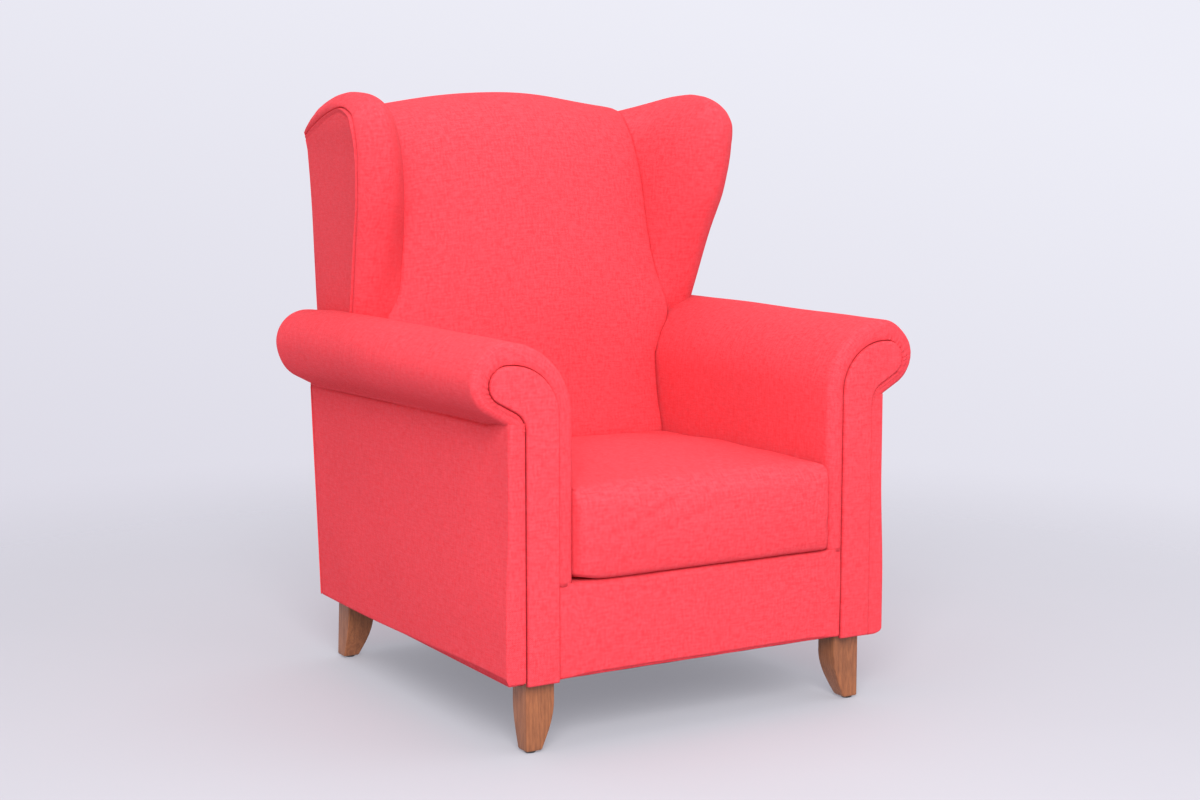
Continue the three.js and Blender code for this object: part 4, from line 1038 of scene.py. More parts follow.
@dataclass
class Wing:
    """One wing: its padding with a rolled nose, and the outside panel within its seam."""

    side: Side
    reach: float = 0.361
    inner_round: float = 0.50
    panel_recess: float = 0.0002
    panel_lip: float = 0.0016
    welt: float = 0.0018
    rays: int = 320

    hub_shares = (0.1, 0.2)
    near_seam = (0.0, 0.0004, 0.0009, 0.0015, 0.0022, 0.0030, 0.0040, 0.0052, 0.0068)
    edge_shares = (
        (0.651, -0.236), (0.6925, -0.105), (0.737, 0.0), (0.7895, 0.131), (0.834, 0.236), (0.881, 0.341),
        (0.920, 0.42), (0.958, 0.499), (0.983, 0.577), (1.001, 0.656), (1.014, 0.735), (1.017, 0.787),
        (1.011, 0.84), (0.989, 0.892), (0.965, 0.919), (0.936, 0.945), (0.886, 0.971), (0.803, 0.991),
        (0.6925, 1.0), (0.596, 0.997), (0.485, 0.986), (0.374, 0.967), (0.277, 0.945), (0.180, 0.917),
        (0.083, 0.871), (0.026, 0.835), (-0.042, 0.787), (-0.319, 0.525))
    seam_shares = (
        (0.568, -0.236), (0.618, -0.105), (0.6565, 0.0), (0.709, 0.131), (0.748, 0.236), (0.789, 0.341),
        (0.826, 0.42), (0.861, 0.499), (0.883, 0.577), (0.901, 0.656), (0.9105, 0.735), (0.914, 0.8005),
        (0.903, 0.845), (0.869, 0.89), (0.802, 0.915), (0.703, 0.929), (0.552, 0.916), (0.371, 0.886),
        (0.182, 0.844), (0.0105, 0.80), (-0.18, 0.748), (-0.374, 0.525))
    back_seam = (
        (0.80, -0.45, 0.285), (0.776, -0.131, 0.285), (0.751, 0.0, 0.278), (0.720, 0.131, 0.2655),
        (0.6925, 0.2625, 0.258), (0.670, 0.42, 0.253), (0.637, 0.577, 0.251), (0.587, 0.735, 0.248),
        (0.54, 0.814, 0.2465), (0.471, 0.879, 0.2480), (0.374, 0.919, 0.2590), (0.280, 0.929, 0.2720),
        (0.166, 0.9055, 0.285), (0.055, 0.84, 0.296), (-0.07, 0.735, 0.303), (-0.35, 0.5, 0.307))
    rear_edge = ((0.60, 0.330), (0.82, 0.330), (0.875, 0.331), (0.93, 0.333), (0.957, 0.336), (0.968, 0.3375),
                 (1.03, 0.339))
    nose_depth = ((0.0, 0.004), (0.15, 0.010), (0.40, 0.020), (0.65, 0.028), (0.75, 0.039), (0.92, 0.049),
                  (1.02, 0.050))

    def side_view(self, shares: Array) -> Array:
        """Places in side view, as (y, z), of shares of the reach and the rise."""
        s = SIZES
        shares = np.asarray(shares, float)
        rise = s.wing_z - s.arm_top_z
        return stacked(s.rear_top_y - shares[..., 0] * self.reach, s.arm_top_z + shares[..., 1] * rise)

    def radii(self, shares: Sequence, angles: Array) -> Array:
        """The distance of a closed outline from the hub in each direction."""
        curve = spline(self.side_view(shares), 20)
        loop = resampled(np.vstack([curve, (curve[-1][0], curve[0][1]), curve[:1]]), 900)
        rel = loop - self.side_view(self.hub_shares)
        start, end = rel[:-1], rel[1:]
        ray = stacked(np.cos(angles), np.sin(angles))
        before, after = (ends[:, 0] * ray[:, 1:] - ends[:, 1] * ray[:, :1] for ends in (start, end))
        gap = np.where(np.abs(before - after) < 1e-12, 1.0, before - after)
        hit = start[None] + (before / gap)[..., None] * (end - start)[None]
        hit = (hit * ray[:, None, :]).sum(axis=-1)
        return np.where((before * after <= 0.0) & (hit > 0.0), hit, 0.0).max(axis=1)

    def around(self, radius: Array, angles: Array) -> tuple[Array, Array]:
        """The y and z at a distance from the hub."""
        hub = self.side_view(self.hub_shares)
        return hub[0] + radius * np.cos(angles), hub[1] + radius * np.sin(angles)

    def outer_x(self, y: Array, z: Array) -> Array:
        """The x of the flat outside of the wing, which splays more towards the top."""
        s = SIZES
        rise = np.clip((z - s.arm_top_z) / (s.wing_z - s.arm_top_z), 0.0, 1.0)
        splay = 0.116 + 0.037 * (1.0 - (1.0 - rise) ** 2)
        return np.interp(z, *zip(*self.rear_edge)) + splay * (s.rear_plane_y(z) - y)

    def trimmed(self, rings: Sequence[Array]) -> Array:
        """The rings on the wing's side, flattened where they would reach behind the outside back."""
        p = np.array(rings)
        limit = SIZES.rear_plane_y(p[..., 2]) - SIZES.panel_depth - 0.0004
        over, soft = p[..., 1] - limit, 0.0014
        p[..., 1] = limit + np.where(over > -soft, -soft + soft * (1.0 - np.exp(-(over + soft) / soft)), over)
        return mirrored(p, self.side)

    def angles_and_radii(self) -> tuple[Array, Array, Array]:
        """The directions from the hub, and the edge's and the seam's distance in each."""
        coarse = np.linspace(-math.pi, math.pi, 721)
        rim = stacked(*self.around(self.radii(self.edge_shares, coarse), coarse))
        weight = np.where((rim[:, 1] > SIZES.arm_top_z - 0.05) & (rim[:, 0] < SIZES.rear_top_y), 1.0, 0.12)
        run = np.concatenate([[0.0], np.cumsum(np.diff(lengths_along(rim)) * weight[1:])])
        angles = np.interp(np.linspace(0.0, run[-1], self.rays + 1)[:-1], run, coarse)
        edge = self.radii(self.edge_shares, angles)
        return angles, edge, np.minimum(self.radii(self.seam_shares, angles), edge - 0.010)

    def padding(self) -> None:
        """The padded wing: its strip from the seam to the nose, and its inside down to the back."""
        angles, edge, seam = self.angles_and_radii()
        edge_y, edge_z = self.around(edge, angles)
        share = (SIZES.rear_top_y - edge_y) / self.reach
        nose_x = self.outer_x(edge_y, edge_z) - np.interp(share, *zip(*self.nose_depth))
        seam_x = self.outer_x(*self.around(seam, angles))
        inner = np.array(self.back_seam)
        places = self.side_view(inner[:, :2]) - self.side_view(self.hub_shares)
        turn = np.mod(np.arctan2(places[:, 1], places[:, 0]), 2 * math.pi)
        order = np.argsort(turn)
        back_x = np.interp(np.mod(angles, 2 * math.pi), turn[order], inner[order, 2])
        depth = edge - self.radii(inner[:, :2], angles)
        depth = 0.5 * (depth + np.sqrt(depth**2 + 0.014**2))
        convex = self.inner_round - 0.3 * (1.0 - smoothstep(0.62, 0.86, share))
        rings = []

        def add(radius: Array, x: Array) -> None:
            """Adds a ring at a distance from the hub."""
            rings.append(stacked(x, *self.around(radius, angles)))

        add(seam - 0.012, seam_x - 0.0100)
        add(seam - 0.0005, seam_x - 0.0100)
        width, last = edge - seam, self.near_seam[-1]
        strip = [np.minimum(step, width) for step in self.near_seam]
        strip += [last + (width - last) * step**0.85 for step in np.linspace(0.0, 1.0, 21)[1:]]
        for away in strip:
            t = np.clip(away / width, 0.0, 1.0)
            bow = 0.65 * np.sqrt(1.0 - t**2) + 0.35 * (1.0 - t)
            drop = roll_off(away, 0.0100, 0.0038) + 0.0055 * np.exp(-away / 0.0010)
            puff = 0.0045 * np.sin(math.pi * np.minimum(1.25 * t, 1.0)) * (1.0 - smoothstep(0.45, 0.8, share))
            add(seam + away, nose_x + (seam_x - nose_x) * bow - drop + puff)
        outer_count = len(rings)
        for t in np.linspace(0.0, 1.0, 48)[1:] ** 1.5:
            curve = convex * float(quarter(t)) + (1.0 - convex) * t
            add(edge - depth * t, nose_x - (nose_x - back_x) * curve)
        for further in (0.006, 0.016, 0.034):
            add(edge - depth - further, back_x - 0.0035 + 0.1 * further)
        grid = np.array(rings)
        outwards = np.where(np.arange(len(rings)) > outer_count, -1.0, 1.0)[:, None]
        grid[..., 0] += 0.0008 * swell(grid, 0.17, 31) * outwards
        piece = closed_loft(f"wing_padding_{self.side.suffix}", self.trimmed(grid))
        fit(piece, UPHOLSTERY, f"wing_pad_{self.side.suffix}")

    def panel(self) -> None:
        """The flat panel on the outside of the wing, blind-stitched round its seam."""
        angles, _, seam = self.angles_and_radii()
        seam, lip = seam - 0.0003, self.panel_lip
        radii = [seam * share for share in (0.02, *np.linspace(0.08, 0.8, 16))]
        radii += [seam - (seam * 0.2 - lip) * (1 - k) ** 2 - lip for k in np.linspace(0.0, 1.0, 16)[1:]]
        radii += [seam - lip * (1.0 - k) for k in np.linspace(0.0, 1.0, 8)[1:]]
        rings = []
        for radius in radii:
            y, z = self.around(radius, angles)
            away = seam - radius
            high = smoothstep(0.93, 0.975, z + away * np.sin(angles)) * smoothstep(-0.42, -0.30, -y)
            crease = 0.0022 * bell(away, 0.0095, 0.0018) * high
            welt = self.welt * bell(away, 0.0026, 0.0022)
            drop = self.panel_recess + roll_off(away, lip, 0.0075) + crease - welt
            rings.append(stacked(self.outer_x(y, z) - drop, y, z))
        rings += [rings[-1] - (0.0016, 0.0, 0.0), rings[0] - (0.0100, 0.0, 0.0)]
        piece = closed_loft(f"wing_outside_panel_{self.side.suffix}", self.trimmed(rings))
        fit(piece, UPHOLSTERY, f"outside_wing_{self.side.suffix}")

    def build(self) -> None:
        """Makes both pieces of the wing."""
        self.padding()
        self.panel()


# Back


@dataclass
class Back:
    """The inside back with its rolled crest, and the outside back."""

    lean: float = 0.219
    crown: float = 0.018
    crest_drop: float = 0.040
    crest_half_wave: float = 0.412
    outside_drop: float = 0.050
    thickness: float = 0.016

    front_shares = ((0.0, 0.0), (0.14, 0.11), (0.4, 0.224), (0.62, 0.338), (0.77, 0.41), (0.88, 0.5),
                    (0.95, 0.64), (0.985, 0.82), (1.0, 1.0))
    seam_places = (
        (0.25, 0.2447), (0.53, 0.2447), (0.565, 0.2500), (0.60, 0.2640), (0.62, 0.2755), (0.64, 0.2795),
        (0.65, 0.2780), (0.70, 0.2655), (0.75, 0.2580), (0.81, 0.2530), (0.87, 0.2510), (0.93, 0.2480),
        (0.96, 0.2465), (1.000, 0.2470), (1.012, 0.2505), (1.022, 0.2570), (1.030, 0.2640), (1.036, 0.2710))
    crest_halves = ((0, 0.2710), (8, 0.2790), (16, 0.2900), (26, 0.3050), (30, 0.3260))
    width_range = (0.2447, 0.300)

    def crest_z(self, x: Array) -> Array:
        """The height of the crest at a distance from the middle."""
        share = np.minimum(np.abs(x) / self.crest_half_wave, 1.0)
        return SIZES.back_z - self.crest_drop * (1.0 - np.cos(math.pi * share)) / 2.0

    def section(self, x: float) -> Array:
        """The side view of the inside back at x: up the front, over the crest and down the rear."""
        s = SIZES
        top = float(self.crest_z(np.array(x)))
        across = 1.0 - (x / 0.3177) ** 2
        rise, lean = spline(self.front_shares, 12).T
        y = s.seat_back_y + lean * self.lean - self.crown * across * np.sin(math.pi * np.clip(rise, 0, 1))
        front = resampled(stacked(y, s.seat_z + (top - s.seat_z) * rise), 130)

        def behind(height: float) -> tuple[float, float]:
            """A place against the outside back."""
            return float(s.rear_plane_y(height)) - s.panel_depth - 0.0005, height

        rear_z = top - self.outside_drop
        crown, rear = front[-1], np.array(behind(rear_z))
        a = np.array([crown[0] + (rear[0] - crown[0]) * 0.55, crown[1]])
        b = np.array([rear[0], rear[1] + (crown[1] - rear[1]) * 0.55])
        t = np.linspace(0.0, 1.0, 26)[1:, None]
        over = (1 - t) ** 3 * crown + 3 * (1 - t) ** 2 * t * a + 3 * (1 - t) * t**2 * b + t**3 * rear
        foot = np.linspace((s.seat_back_y - 0.001, 0.262), front[0], 22)[:-1]
        down = [behind(height) for height in np.linspace(rear_z, rear_z - 0.05, 5)[1:]]
        return np.vstack([foot, front, over, down])

    def inside(self) -> None:
        """The inside back: a padded sheet that tucks in along the arms and wings."""
        half = np.concatenate([np.linspace(0.0, 0.90, 34), 0.90 + 0.10 * np.linspace(0.0, 1.0, 9)[1:]])
        across = np.concatenate([-half[::-1], half[1:]])
        middle = self.section(0.0)
        in_front, z = middle[:, 0] < 0.3, middle[:, 1]
        width = np.interp(z, *spline(self.seam_places, 10).T)
        past = np.arange(len(middle)) - int(np.argmax(z))
        width[past > 0] = np.interp(past[past > 0], *zip(*self.crest_halves))
        near, far = (np.array([self.section(share * w) for share in half]) for w in self.width_range)
        mix = np.interp(width, self.width_range, [0.0, 1.0])[None, :, None]
        columns = near * (1.0 - mix) + far * mix
        wider = 0.009 * smoothstep(0.60, 0.66, z) * (1.0 - smoothstep(0.90, 0.97, z))
        wider += 0.011 * bell(z, 0.652, 0.032)
        fuller = 0.006 * bell(z, 0.672, 0.035)
        grid = np.empty((len(middle), len(across), 3))
        grid[..., 0] = across * width[:, None]
        grid[..., 0] += np.minimum(across, 0.0) ** 5 * (wider * in_front)[:, None]
        grid[..., 0] += np.maximum(across, 0.0) ** 5 * (fuller * in_front)[:, None]
        grid[..., 1:] = np.concatenate([columns[::-1], columns[1:]]).transpose(1, 0, 2)
        normal = grid_normals(grid)
        distance = (1.0 - np.abs(across)) * width[:, None]
        soft = 0.0034 * np.exp(-distance / 0.011) + roll_off(distance, 0.0050, 0.0150)
        lift = 0.0011 * swell(grid, 0.22, 41) * smoothstep(0.40, 0.46, grid[..., 2])
        uv = stacked(across * width[:, None], lengths_along(middle)[:, None])
        piece = padded_shell("inside_back_padding", grid + normal * (lift - soft)[..., None],
                             grid - normal * self.thickness, uv)
        fit(piece, UPHOLSTERY, "inside_back")

    def outside(self) -> None:
        """The outside back panel, blind-stitched down both sides and along the top."""
        s = SIZES
        low, step = s.leg_height + 0.0003, 0.508
        x = np.linspace(0.3362, -0.3362, 60)
        top = stacked(x, self.crest_z(x) - self.outside_drop - 0.0005)
        right = np.array([
            (0.3505, low), (0.3508, step - 0.010), (0.3490, step - 0.003), (0.3420, step + 0.001),
            (0.3335, step + 0.003), (0.3298, step + 0.007), (0.3290, step + 0.014), (0.3302, 0.66),
            (0.3302, 0.82), (0.3312, 0.875), (0.3332, 0.93)])
        loop = np.vstack([right, top, right[::-1] * (-1.0, 1.0)])
        edge = EdgeShape(width=0.0035, depth=0.0026, crown=0.0022, crown_width=0.05, thickness=0.0044)

        def place(flat: Array, depth: Array) -> Array:
            """Stands the pattern up in the raked plane of the back."""
            relief = np.where(depth < 0.0041, 0.0007 * swell(flat[:, [0, 1, 0]], 0.25, 51), 0.0)
            return stacked(flat[:, 0], s.rear_plane_y(flat[:, 1]) - depth + relief - 0.0008, flat[:, 1])

        fit(cut_panel("outside_back_panel", loop, 0.014, edge, place), UPHOLSTERY, "outside_back")

    def build(self) -> None:
        """Makes both pieces of the back."""
        self.inside()
        self.outside()


# Seat


@dataclass
class SeatBase:
    """The front border, the platform under the cushion and the dust cloth."""

    half_width: float = 0.2732
    border_bottom: float = 0.1200
    edge_radius: float = 0.012
    staple_inset: float = 0.010
    staple_pitch: float = 0.052

    def border_section(self, x: float) -> tuple[Array, Array]:
        """The front rail's padding at x, as rows of depth and height: its outside and its inside."""
        s = SIZES
        bottom = self.border_bottom - 0.004 * float(smoothstep(0.205, 0.272, abs(x)))
        hem, height = s.hem_z - bottom, s.platform_z - bottom
        turned = np.array([(0.034, hem), (0.020, hem), (0.0080, hem), (0.0054, 0.85 * hem),
                           (0.0048, 0.35 * hem)])
        under = arc((0.005, 0.005), 0.005, 258.0, 180.0, 6)
        beside = float(smoothstep(s.arm_inner_x - 0.006, s.arm_inner_x + 0.004, abs(x)))
        radius = self.edge_radius * (1.0 - beside) + 0.0006
        bow = -0.0012 * np.sin(np.linspace(0.0, math.pi, 26))
        face = stacked(bow, np.linspace(0.0055, height - radius, 26))
        top = arc((radius, height - radius), radius, 180.0, 90.0, 8)[1:]
        flat = stacked(np.linspace(radius + 0.003, 0.053, 8), height)
        behind = [(0.0535, height - 0.006), (0.0535, height - 0.030)]
        section = np.vstack([turned, under, face, top, flat, behind])
        inside = np.where(section[:, :1] < 0.011, stacked(0.0118, section[:, 1]), section - (0.0002, 0.012))
        inside[:5] = turned + (0.0003, 0.0006)
        tuck = roll_off(self.half_width - abs(x), 0.0035, 0.0050)
        section[:, 0] += tuck * np.clip(1.0 - section[:, 0] / 0.010, 0.0, 1.0)
        front = s.front_y + s.border_y
        return section + (front, bottom), inside + (front, bottom)

    def border(self) -> None:
        """The upholstered front rail, with its hem turned under and its lip under the cushion."""
        half = self.half_width
        end = np.linspace(half, half - 0.006, 6)
        x = np.concatenate([-end, np.linspace(-half + 0.010, half - 0.010, 110), end[::-1]])
        sections = np.array([self.border_section(px) for px in x])
        face, back = (stacked(x[:, None], rows[..., 0], rows[..., 1]) for rows in np.swapaxes(sections, 0, 1))
        face[..., 1] += 0.0005 * swell(face, 0.14, 61)
        uv = stacked(x[:, None], lengths_along(face[60][:, 1:]))
        fit(padded_shell("front_border_padding", face, back, uv), UPHOLSTERY, "front_border")

    @staticmethod
    def sheet(low: Vector, high: Vector, columns: int, rows: int,
              inset: float = 0.0) -> tuple[Array, Array, Array]:
        """A grid of x and of y over a box, and the distance from the box's nearest side."""
        x, y = np.meshgrid(np.linspace(low.x + inset, high.x - inset, columns),
                           np.linspace(low.y + inset, high.y - inset, rows))
        return x, y, np.min([x - low.x, high.x - x, y - low.y, high.y - y], axis=0)

    def platform(self) -> None:
        """The lined platform that the cushion lies on."""
        low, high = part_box("seat_platform")
        x, y, edge = self.sheet(low, high, 40, 56)
        share = (y - low.y) / (high.y - low.y)
        top = high.z - 0.0006 - roll_off(edge, 0.012, 0.006)
        face = stacked(x, y, top)
        face[..., 2] -= 0.0005 * (1 + swell(face, 0.09, 71))
        under = low.z + 0.004 + 0.026 * 4 * share * (1 - share)
        piece = padded_shell("seat_platform_padding", face, stacked(x, y, np.minimum(under, top - 0.004)))
        fit(piece, Fitting(LINING_CLOTH, "upholstery_fabric", fill=0.5), "seat_platform")

    def dust_cloth(self) -> None:
        """The black cloth under the frame, slack between its staples."""
        low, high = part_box("dust_cover")
        x, y, edge = self.sheet(low, high, 90, 100, inset=0.002)
        sag = 0.0035 * smoothstep(0.0, 0.12, edge)
        pleat = 0.0006 * np.sin((x + y) / 0.012) * np.exp(-edge / 0.03)
        face = stacked(x, y, low.z + 0.0002 - sag + pleat * smoothstep(0.0, 0.006, edge))
        piece = padded_shell("dust_cloth_sheet", face, face + (0.0, 0.0, 0.0008))
        fit(piece, Fitting(DUST_CLOTH, "dust_cloth"), "dust_cover")

    def staples(self) -> None:
        """The staples along the edges of the dust cloth."""
        low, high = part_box("dust_cover")
        inset, z = self.staple_inset, low.z - 0.0002
        middles, halves = [], []
        for x in np.arange(low.x + 0.03, high.x - 0.02, self.staple_pitch):
            middles += [(x, low.y + inset, z), (x, high.y - inset, z)]
            halves += [(0.005, 0.0005, 0.0004)] * 2
        for y in np.arange(low.y + 0.03, high.y - 0.02, self.staple_pitch):
            middles += [(low.x + inset, y, z), (high.x - inset, y, z)]
            halves += [(0.0005, 0.005, 0.0004)] * 2
        fit(small_blocks("dust_cloth_staples", middles, halves), Fitting(ZINC_STEEL, "bolt_steel"))

    def build(self) -> None:
        """Makes every piece of the seat base."""
        self.border()
        self.platform()
        self.dust_cloth()
        self.staples()


@dataclass
class SeatCushion:
    """The loose box cushion: a sewn cover blown up by its filling, with seams and a zip."""

    half_width: float = 0.2432
    front_y: float = -0.4160
    rear_y: float = 0.0968
    bottom_z: float = 0.2690
    top_z: float = 0.4150
    left_corner: float = 0.019
    right_corner: float = 0.008
    crown: float = 0.026
    wall_push: float = 0.004
    front_bulge: float = 0.0084
    grid: int = 60
    rows: int = 22
    seam_groove: float = 0.0030

    filling = {"quality": 5, "mass": 0.35, "tension_stiffness": 14.0, "compression_stiffness": 14.0,
               "shear_stiffness": 6.0, "bending_stiffness": 1.2, "use_pressure": True,
               "uniform_pressure_force": 4.0, "vertex_group_mass": "seams"}
    filling_frames = 20
    folds = (((-0.215, 0.325), (-0.02, 0.405), 0.0036, 0.0052),
             ((-0.16, 0.318), (0.06, 0.385), 0.0028, 0.0060),
             ((-0.20, 0.352), (-0.08, 0.402), 0.0026, 0.0042),
             ((0.232, 0.300), (0.243, 0.340), 0.0024, 0.0040))

    @property
    def half_depth(self) -> float:
        """Half of its depth."""
        return (self.rear_y - self.front_y) / 2

    @property
    def middle_y(self) -> float:
        """The y of its middle."""
        return (self.front_y + self.rear_y) / 2

    @property
    def face_count(self) -> int:
        """The number of points on its top, and on its bottom, before it is made finer."""
        return (self.grid + 1) ** 2

    @property
    def seams(self) -> tuple[Array, Array]:
        """The numbers of the points on its top and on its bottom seam."""
        loop = rim_of(np.arange(self.face_count).reshape(self.grid + 1, self.grid + 1))
        return loop, loop + self.face_count

    def corner_radius(self, x: Array) -> Array:
        """The plan's corner radius: the left corners are worn rounder than the right ones."""
        return np.where(x < 0.0, self.left_corner, self.right_corner)

    def plan(self, u: Array, v: Array) -> Array:
        """Turns a square of -1 to 1 each way into the cushion's rounded plan."""
        reach = np.maximum(np.abs(u), np.abs(v))
        safe = np.maximum(reach, 1e-9)
        hx, hy = self.half_width, self.half_depth
        x, y = u / safe * hx, v / safe * hy
        corner = self.corner_radius(x)
        cx, cy = np.abs(x) - (hx - corner), np.abs(y) - (hy - corner)
        in_corner = (cx > 0) & (cy > 0)
        angle = np.where(cx > cy, cy / np.maximum(cx, 1e-9), 2 - cx / np.maximum(cy, 1e-9))
        turn = np.where(in_corner, angle, 0.0) * math.pi / 4
        x = np.where(in_corner, np.sign(x) * (hx - corner + corner * np.cos(turn)), x)
        y = np.where(in_corner, np.sign(y) * (hy - corner + corner * np.sin(turn)), y)
        return stacked(x * reach, y * reach + self.middle_y)

    def shape(self) -> tuple[Array, list]:
        """The sewn cover before it is filled: the points of its top, bottom and walls, and its quads."""
        side, total = self.grid + 1, self.face_count
        reach = math.pi / 2 * 0.86
        ticks = np.sin(np.linspace(-1.0, 1.0, side) * reach) / math.sin(reach)
        flat = self.plan(*np.meshgrid(ticks, ticks)).reshape(-1, 2)
        top_seam, bottom_seam = self.seams
        size = len(top_seam)
        turn = np.linspace(0.0, math.pi, self.rows + 1)[1:-1]
        heights = self.bottom_z + (self.top_z - self.bottom_z) * (1.0 - np.cos(turn)) / 2.0
        layers = [(flat, self.top_z), (flat, self.bottom_z), *((flat[top_seam], z) for z in heights)]
        faces: list = rows_to_faces(side, side, False)
        faces += [tuple(reversed(face)) for face in rows_to_faces(side, side, False, total)]
        walls = [2 * total + k * size + np.arange(size) for k in range(len(heights))]
        levels = [bottom_seam, *walls, top_seam]
        for low, high in zip(levels, levels[1:]):
            ring = (low, np.roll(low, -1), np.roll(high, -1), high)
            faces += zip(*(numbers.tolist() for numbers in ring))
        return np.vstack([stacked(*layer.T, z) for layer, z in layers]), faces

    def filled(self, obj: bpy.types.Object) -> Array:
        """Blows the sewn cover up with cloth simulation and gives the places of its points."""
        group = obj.vertex_groups.new(name="seams")
        group.add(np.concatenate(self.seams).tolist(), 1.0, "REPLACE")
        cloth = obj.modifiers.new("filling", "CLOTH")
        for key, value in self.filling.items():
            setattr(cloth.settings, key, value)
        cloth.settings.effector_weights.gravity = 0.0
        cloth.point_cache.frame_start = 1
        cloth.point_cache.frame_end = self.filling_frames
        scene = bpy.context.scene
        for number in range(1, self.filling_frames + 1):
            scene.frame_set(number)
        evaluated = obj.evaluated_get(bpy.context.evaluated_depsgraph_get())
        moved = read(evaluated.data.vertices, "co", 3)
        obj.modifiers.remove(cloth)
        obj.vertex_groups.remove(group)
        scene.frame_set(1)
        return moved

    def push(self, obj: bpy.types.Object, points: Array) -> Array:
        """How far the filling moves each point of the sewn cover."""
        top, walls = slice(0, self.face_count), slice(2 * self.face_count, None)
        push = np.zeros_like(points)
        blown = self.filled(obj) - points
        push[top] = blown[top] * min(self.crown / max(blown[top, 2].max(), 1e-6), 4.0)
        reach = max(np.linalg.norm(blown[walls, :2], axis=1).max(), 1e-6)
        push[walls] = blown[walls] * min(1.0, self.wall_push / reach)
        LOG.info("cushion filling: crown %.4f, sides %.4f before the cap", blown[top, 2].max(), reach)
        return push

    def build(self) -> None:
        """Makes the cushion, its seams and its zip."""
        points, faces = self.shape()
        obj = mesh_object("seat_cushion_cover", points, faces)
        placed = self.wrinkled(self.rounded(points + self.push(obj, points), points))
        obj.data.vertices.foreach_set("co", placed.ravel())
        obj.data.update()
        subdivide = obj.modifiers.new("smooth", "SUBSURF")
        subdivide.levels = subdivide.render_levels = 1
        apply_modifiers(obj)
        self.groove(obj)
        lay_cloth(obj.data)
        cover = Fitting(CORAL_CLOTH, "upholstery_fabric", Body.SEAT_CUSHION, 0.8)
        fit(obj, cover, "cushion_cover", "cushion_core")
        self.zip()

    def rounded(self, placed: Array, rest: Array) -> Array:
        """Rounds the cushion's edges, bulges its front, drops its rear and keeps it within its well."""
        p = placed.copy()
        hx, hy = self.half_width, self.half_depth
        flat_x, flat_y = rest[:, 0], rest[:, 1] - self.middle_y
        left_x, left_y = hx - np.abs(flat_x), hy - np.abs(flat_y)
        worn = self.corner_radius(flat_x)
        cx, cy = np.maximum(worn - left_x, 0.0), np.maximum(worn - left_y, 0.0)
        rim = np.where((cx > 0) & (cy > 0), worn - np.hypot(cx, cy), np.minimum(left_x, left_y))
        rim = np.maximum(rim, 0.0)
        share = stacked(flat_x / hx, flat_y / hy)
        share /= np.maximum(np.abs(share).max(axis=1, keepdims=True), 1e-9)
        way = unit(np.sign(share) * np.abs(share) ** 22)
        front = smoothstep(0.35, 0.95, -way[:, 1])
        number = np.arange(len(p))
        on_top, wall = number < self.face_count, number >= 2 * self.face_count
        for flat, sign, level, radius in ((on_top, 1.0, self.top_z, 0.013 + 0.017 * front),
                                          (~(on_top | wall), -1.0, self.bottom_z, 0.010)):
            away = sign * (level - rest[:, 2])
            turn = np.where(flat, (1.0 - rim / radius) * 45.0, 45.0 + 45.0 * away / radius)
            near = (flat & (rim < radius)) | (wall & (away < radius))
            turn = np.radians(np.clip(turn, 0.0, 90.0))
            p[:, 2] -= sign * np.where(near, radius * (1.0 - np.cos(turn)) - np.where(wall, away, 0.0), 0.0)
            draw = np.where(near, radius * (1.0 - np.sin(turn)) - np.where(flat, rim, 0.0), 0.0)
            p[:, :2] -= way * draw[:, None]
        rise = np.clip((p[:, 2] - self.bottom_z) / (self.top_z - self.bottom_z), 0.0, 1.0)
        ends = np.where(flat_x < 0.0, 0.50, 0.25) * np.abs(flat_x / hx) ** 4
        bulge = self.front_bulge * np.sin(math.pi * rise) ** 0.7 * (1.0 - ends)
        p[:, 1] -= bulge * front * (rim < 0.04)
        p[:, 2] -= 0.007 * smoothstep(-0.2, 0.095, p[:, 1]) * smoothstep(0.35, 0.41, rest[:, 2])
        corner = bell(p[:, 0], -hx, 0.028) * bell(p[:, 1], self.front_y, 0.028)
        p[:, 2] += 0.0085 * corner * np.clip(1.0 - (p[:, 2] - self.bottom_z) / 0.05, 0.0, 1.0)
        p[:, 2] = np.maximum(p[:, 2], self.bottom_z)
        p[:, 0] = np.clip(p[:, 0], -hx - 0.0008, hx + 0.0014)
        return p

    def wrinkled(self, placed: Array) -> Array:
        """Adds the faint tension folds of the front face and the soft unevenness of the filling."""
        p = placed.copy()
        flat = p[:, [0, 2]]
        front = 1.0 - smoothstep(self.front_y + 0.006, self.front_y + 0.03, p[:, 1])
        for start, end, depth, width in self.folds:
            way = np.subtract(end, start)
            length = float(np.linalg.norm(way))
            along = way / length
            t, off = (flat - start) @ along, (flat - start) @ np.array([-along[1], along[0]])
            weight = smoothstep(0.0, 0.3 * length, t) * (1 - smoothstep(0.7 * length, length, t))
            p[:, 1] += front * depth * weight * (bell(off, 0.0, width) - 0.6 * bell(off, 1.7 * width, width))
        lift = swell(p, 0.13, 81)
        p[:, 2] += 0.0011 * lift * smoothstep(0.400, 0.420, p[:, 2])
        p[:, 1] -= 0.0007 * lift * front
        return p

    def seam_weight(self, points: Array) -> Array:
        """The top seam's depth: full along the sides and rear, but at the front only at its corners."""
        x = points[:, 0]
        at_front = 1.0 - smoothstep(self.front_y + 0.028, self.front_y + 0.040, points[:, 1])
        left, right = smoothstep(0.194, 0.204, -x), 0.45 * smoothstep(0.214, 0.224, x)
        return 1.0 - at_front * (1.0 - np.maximum(left, right))

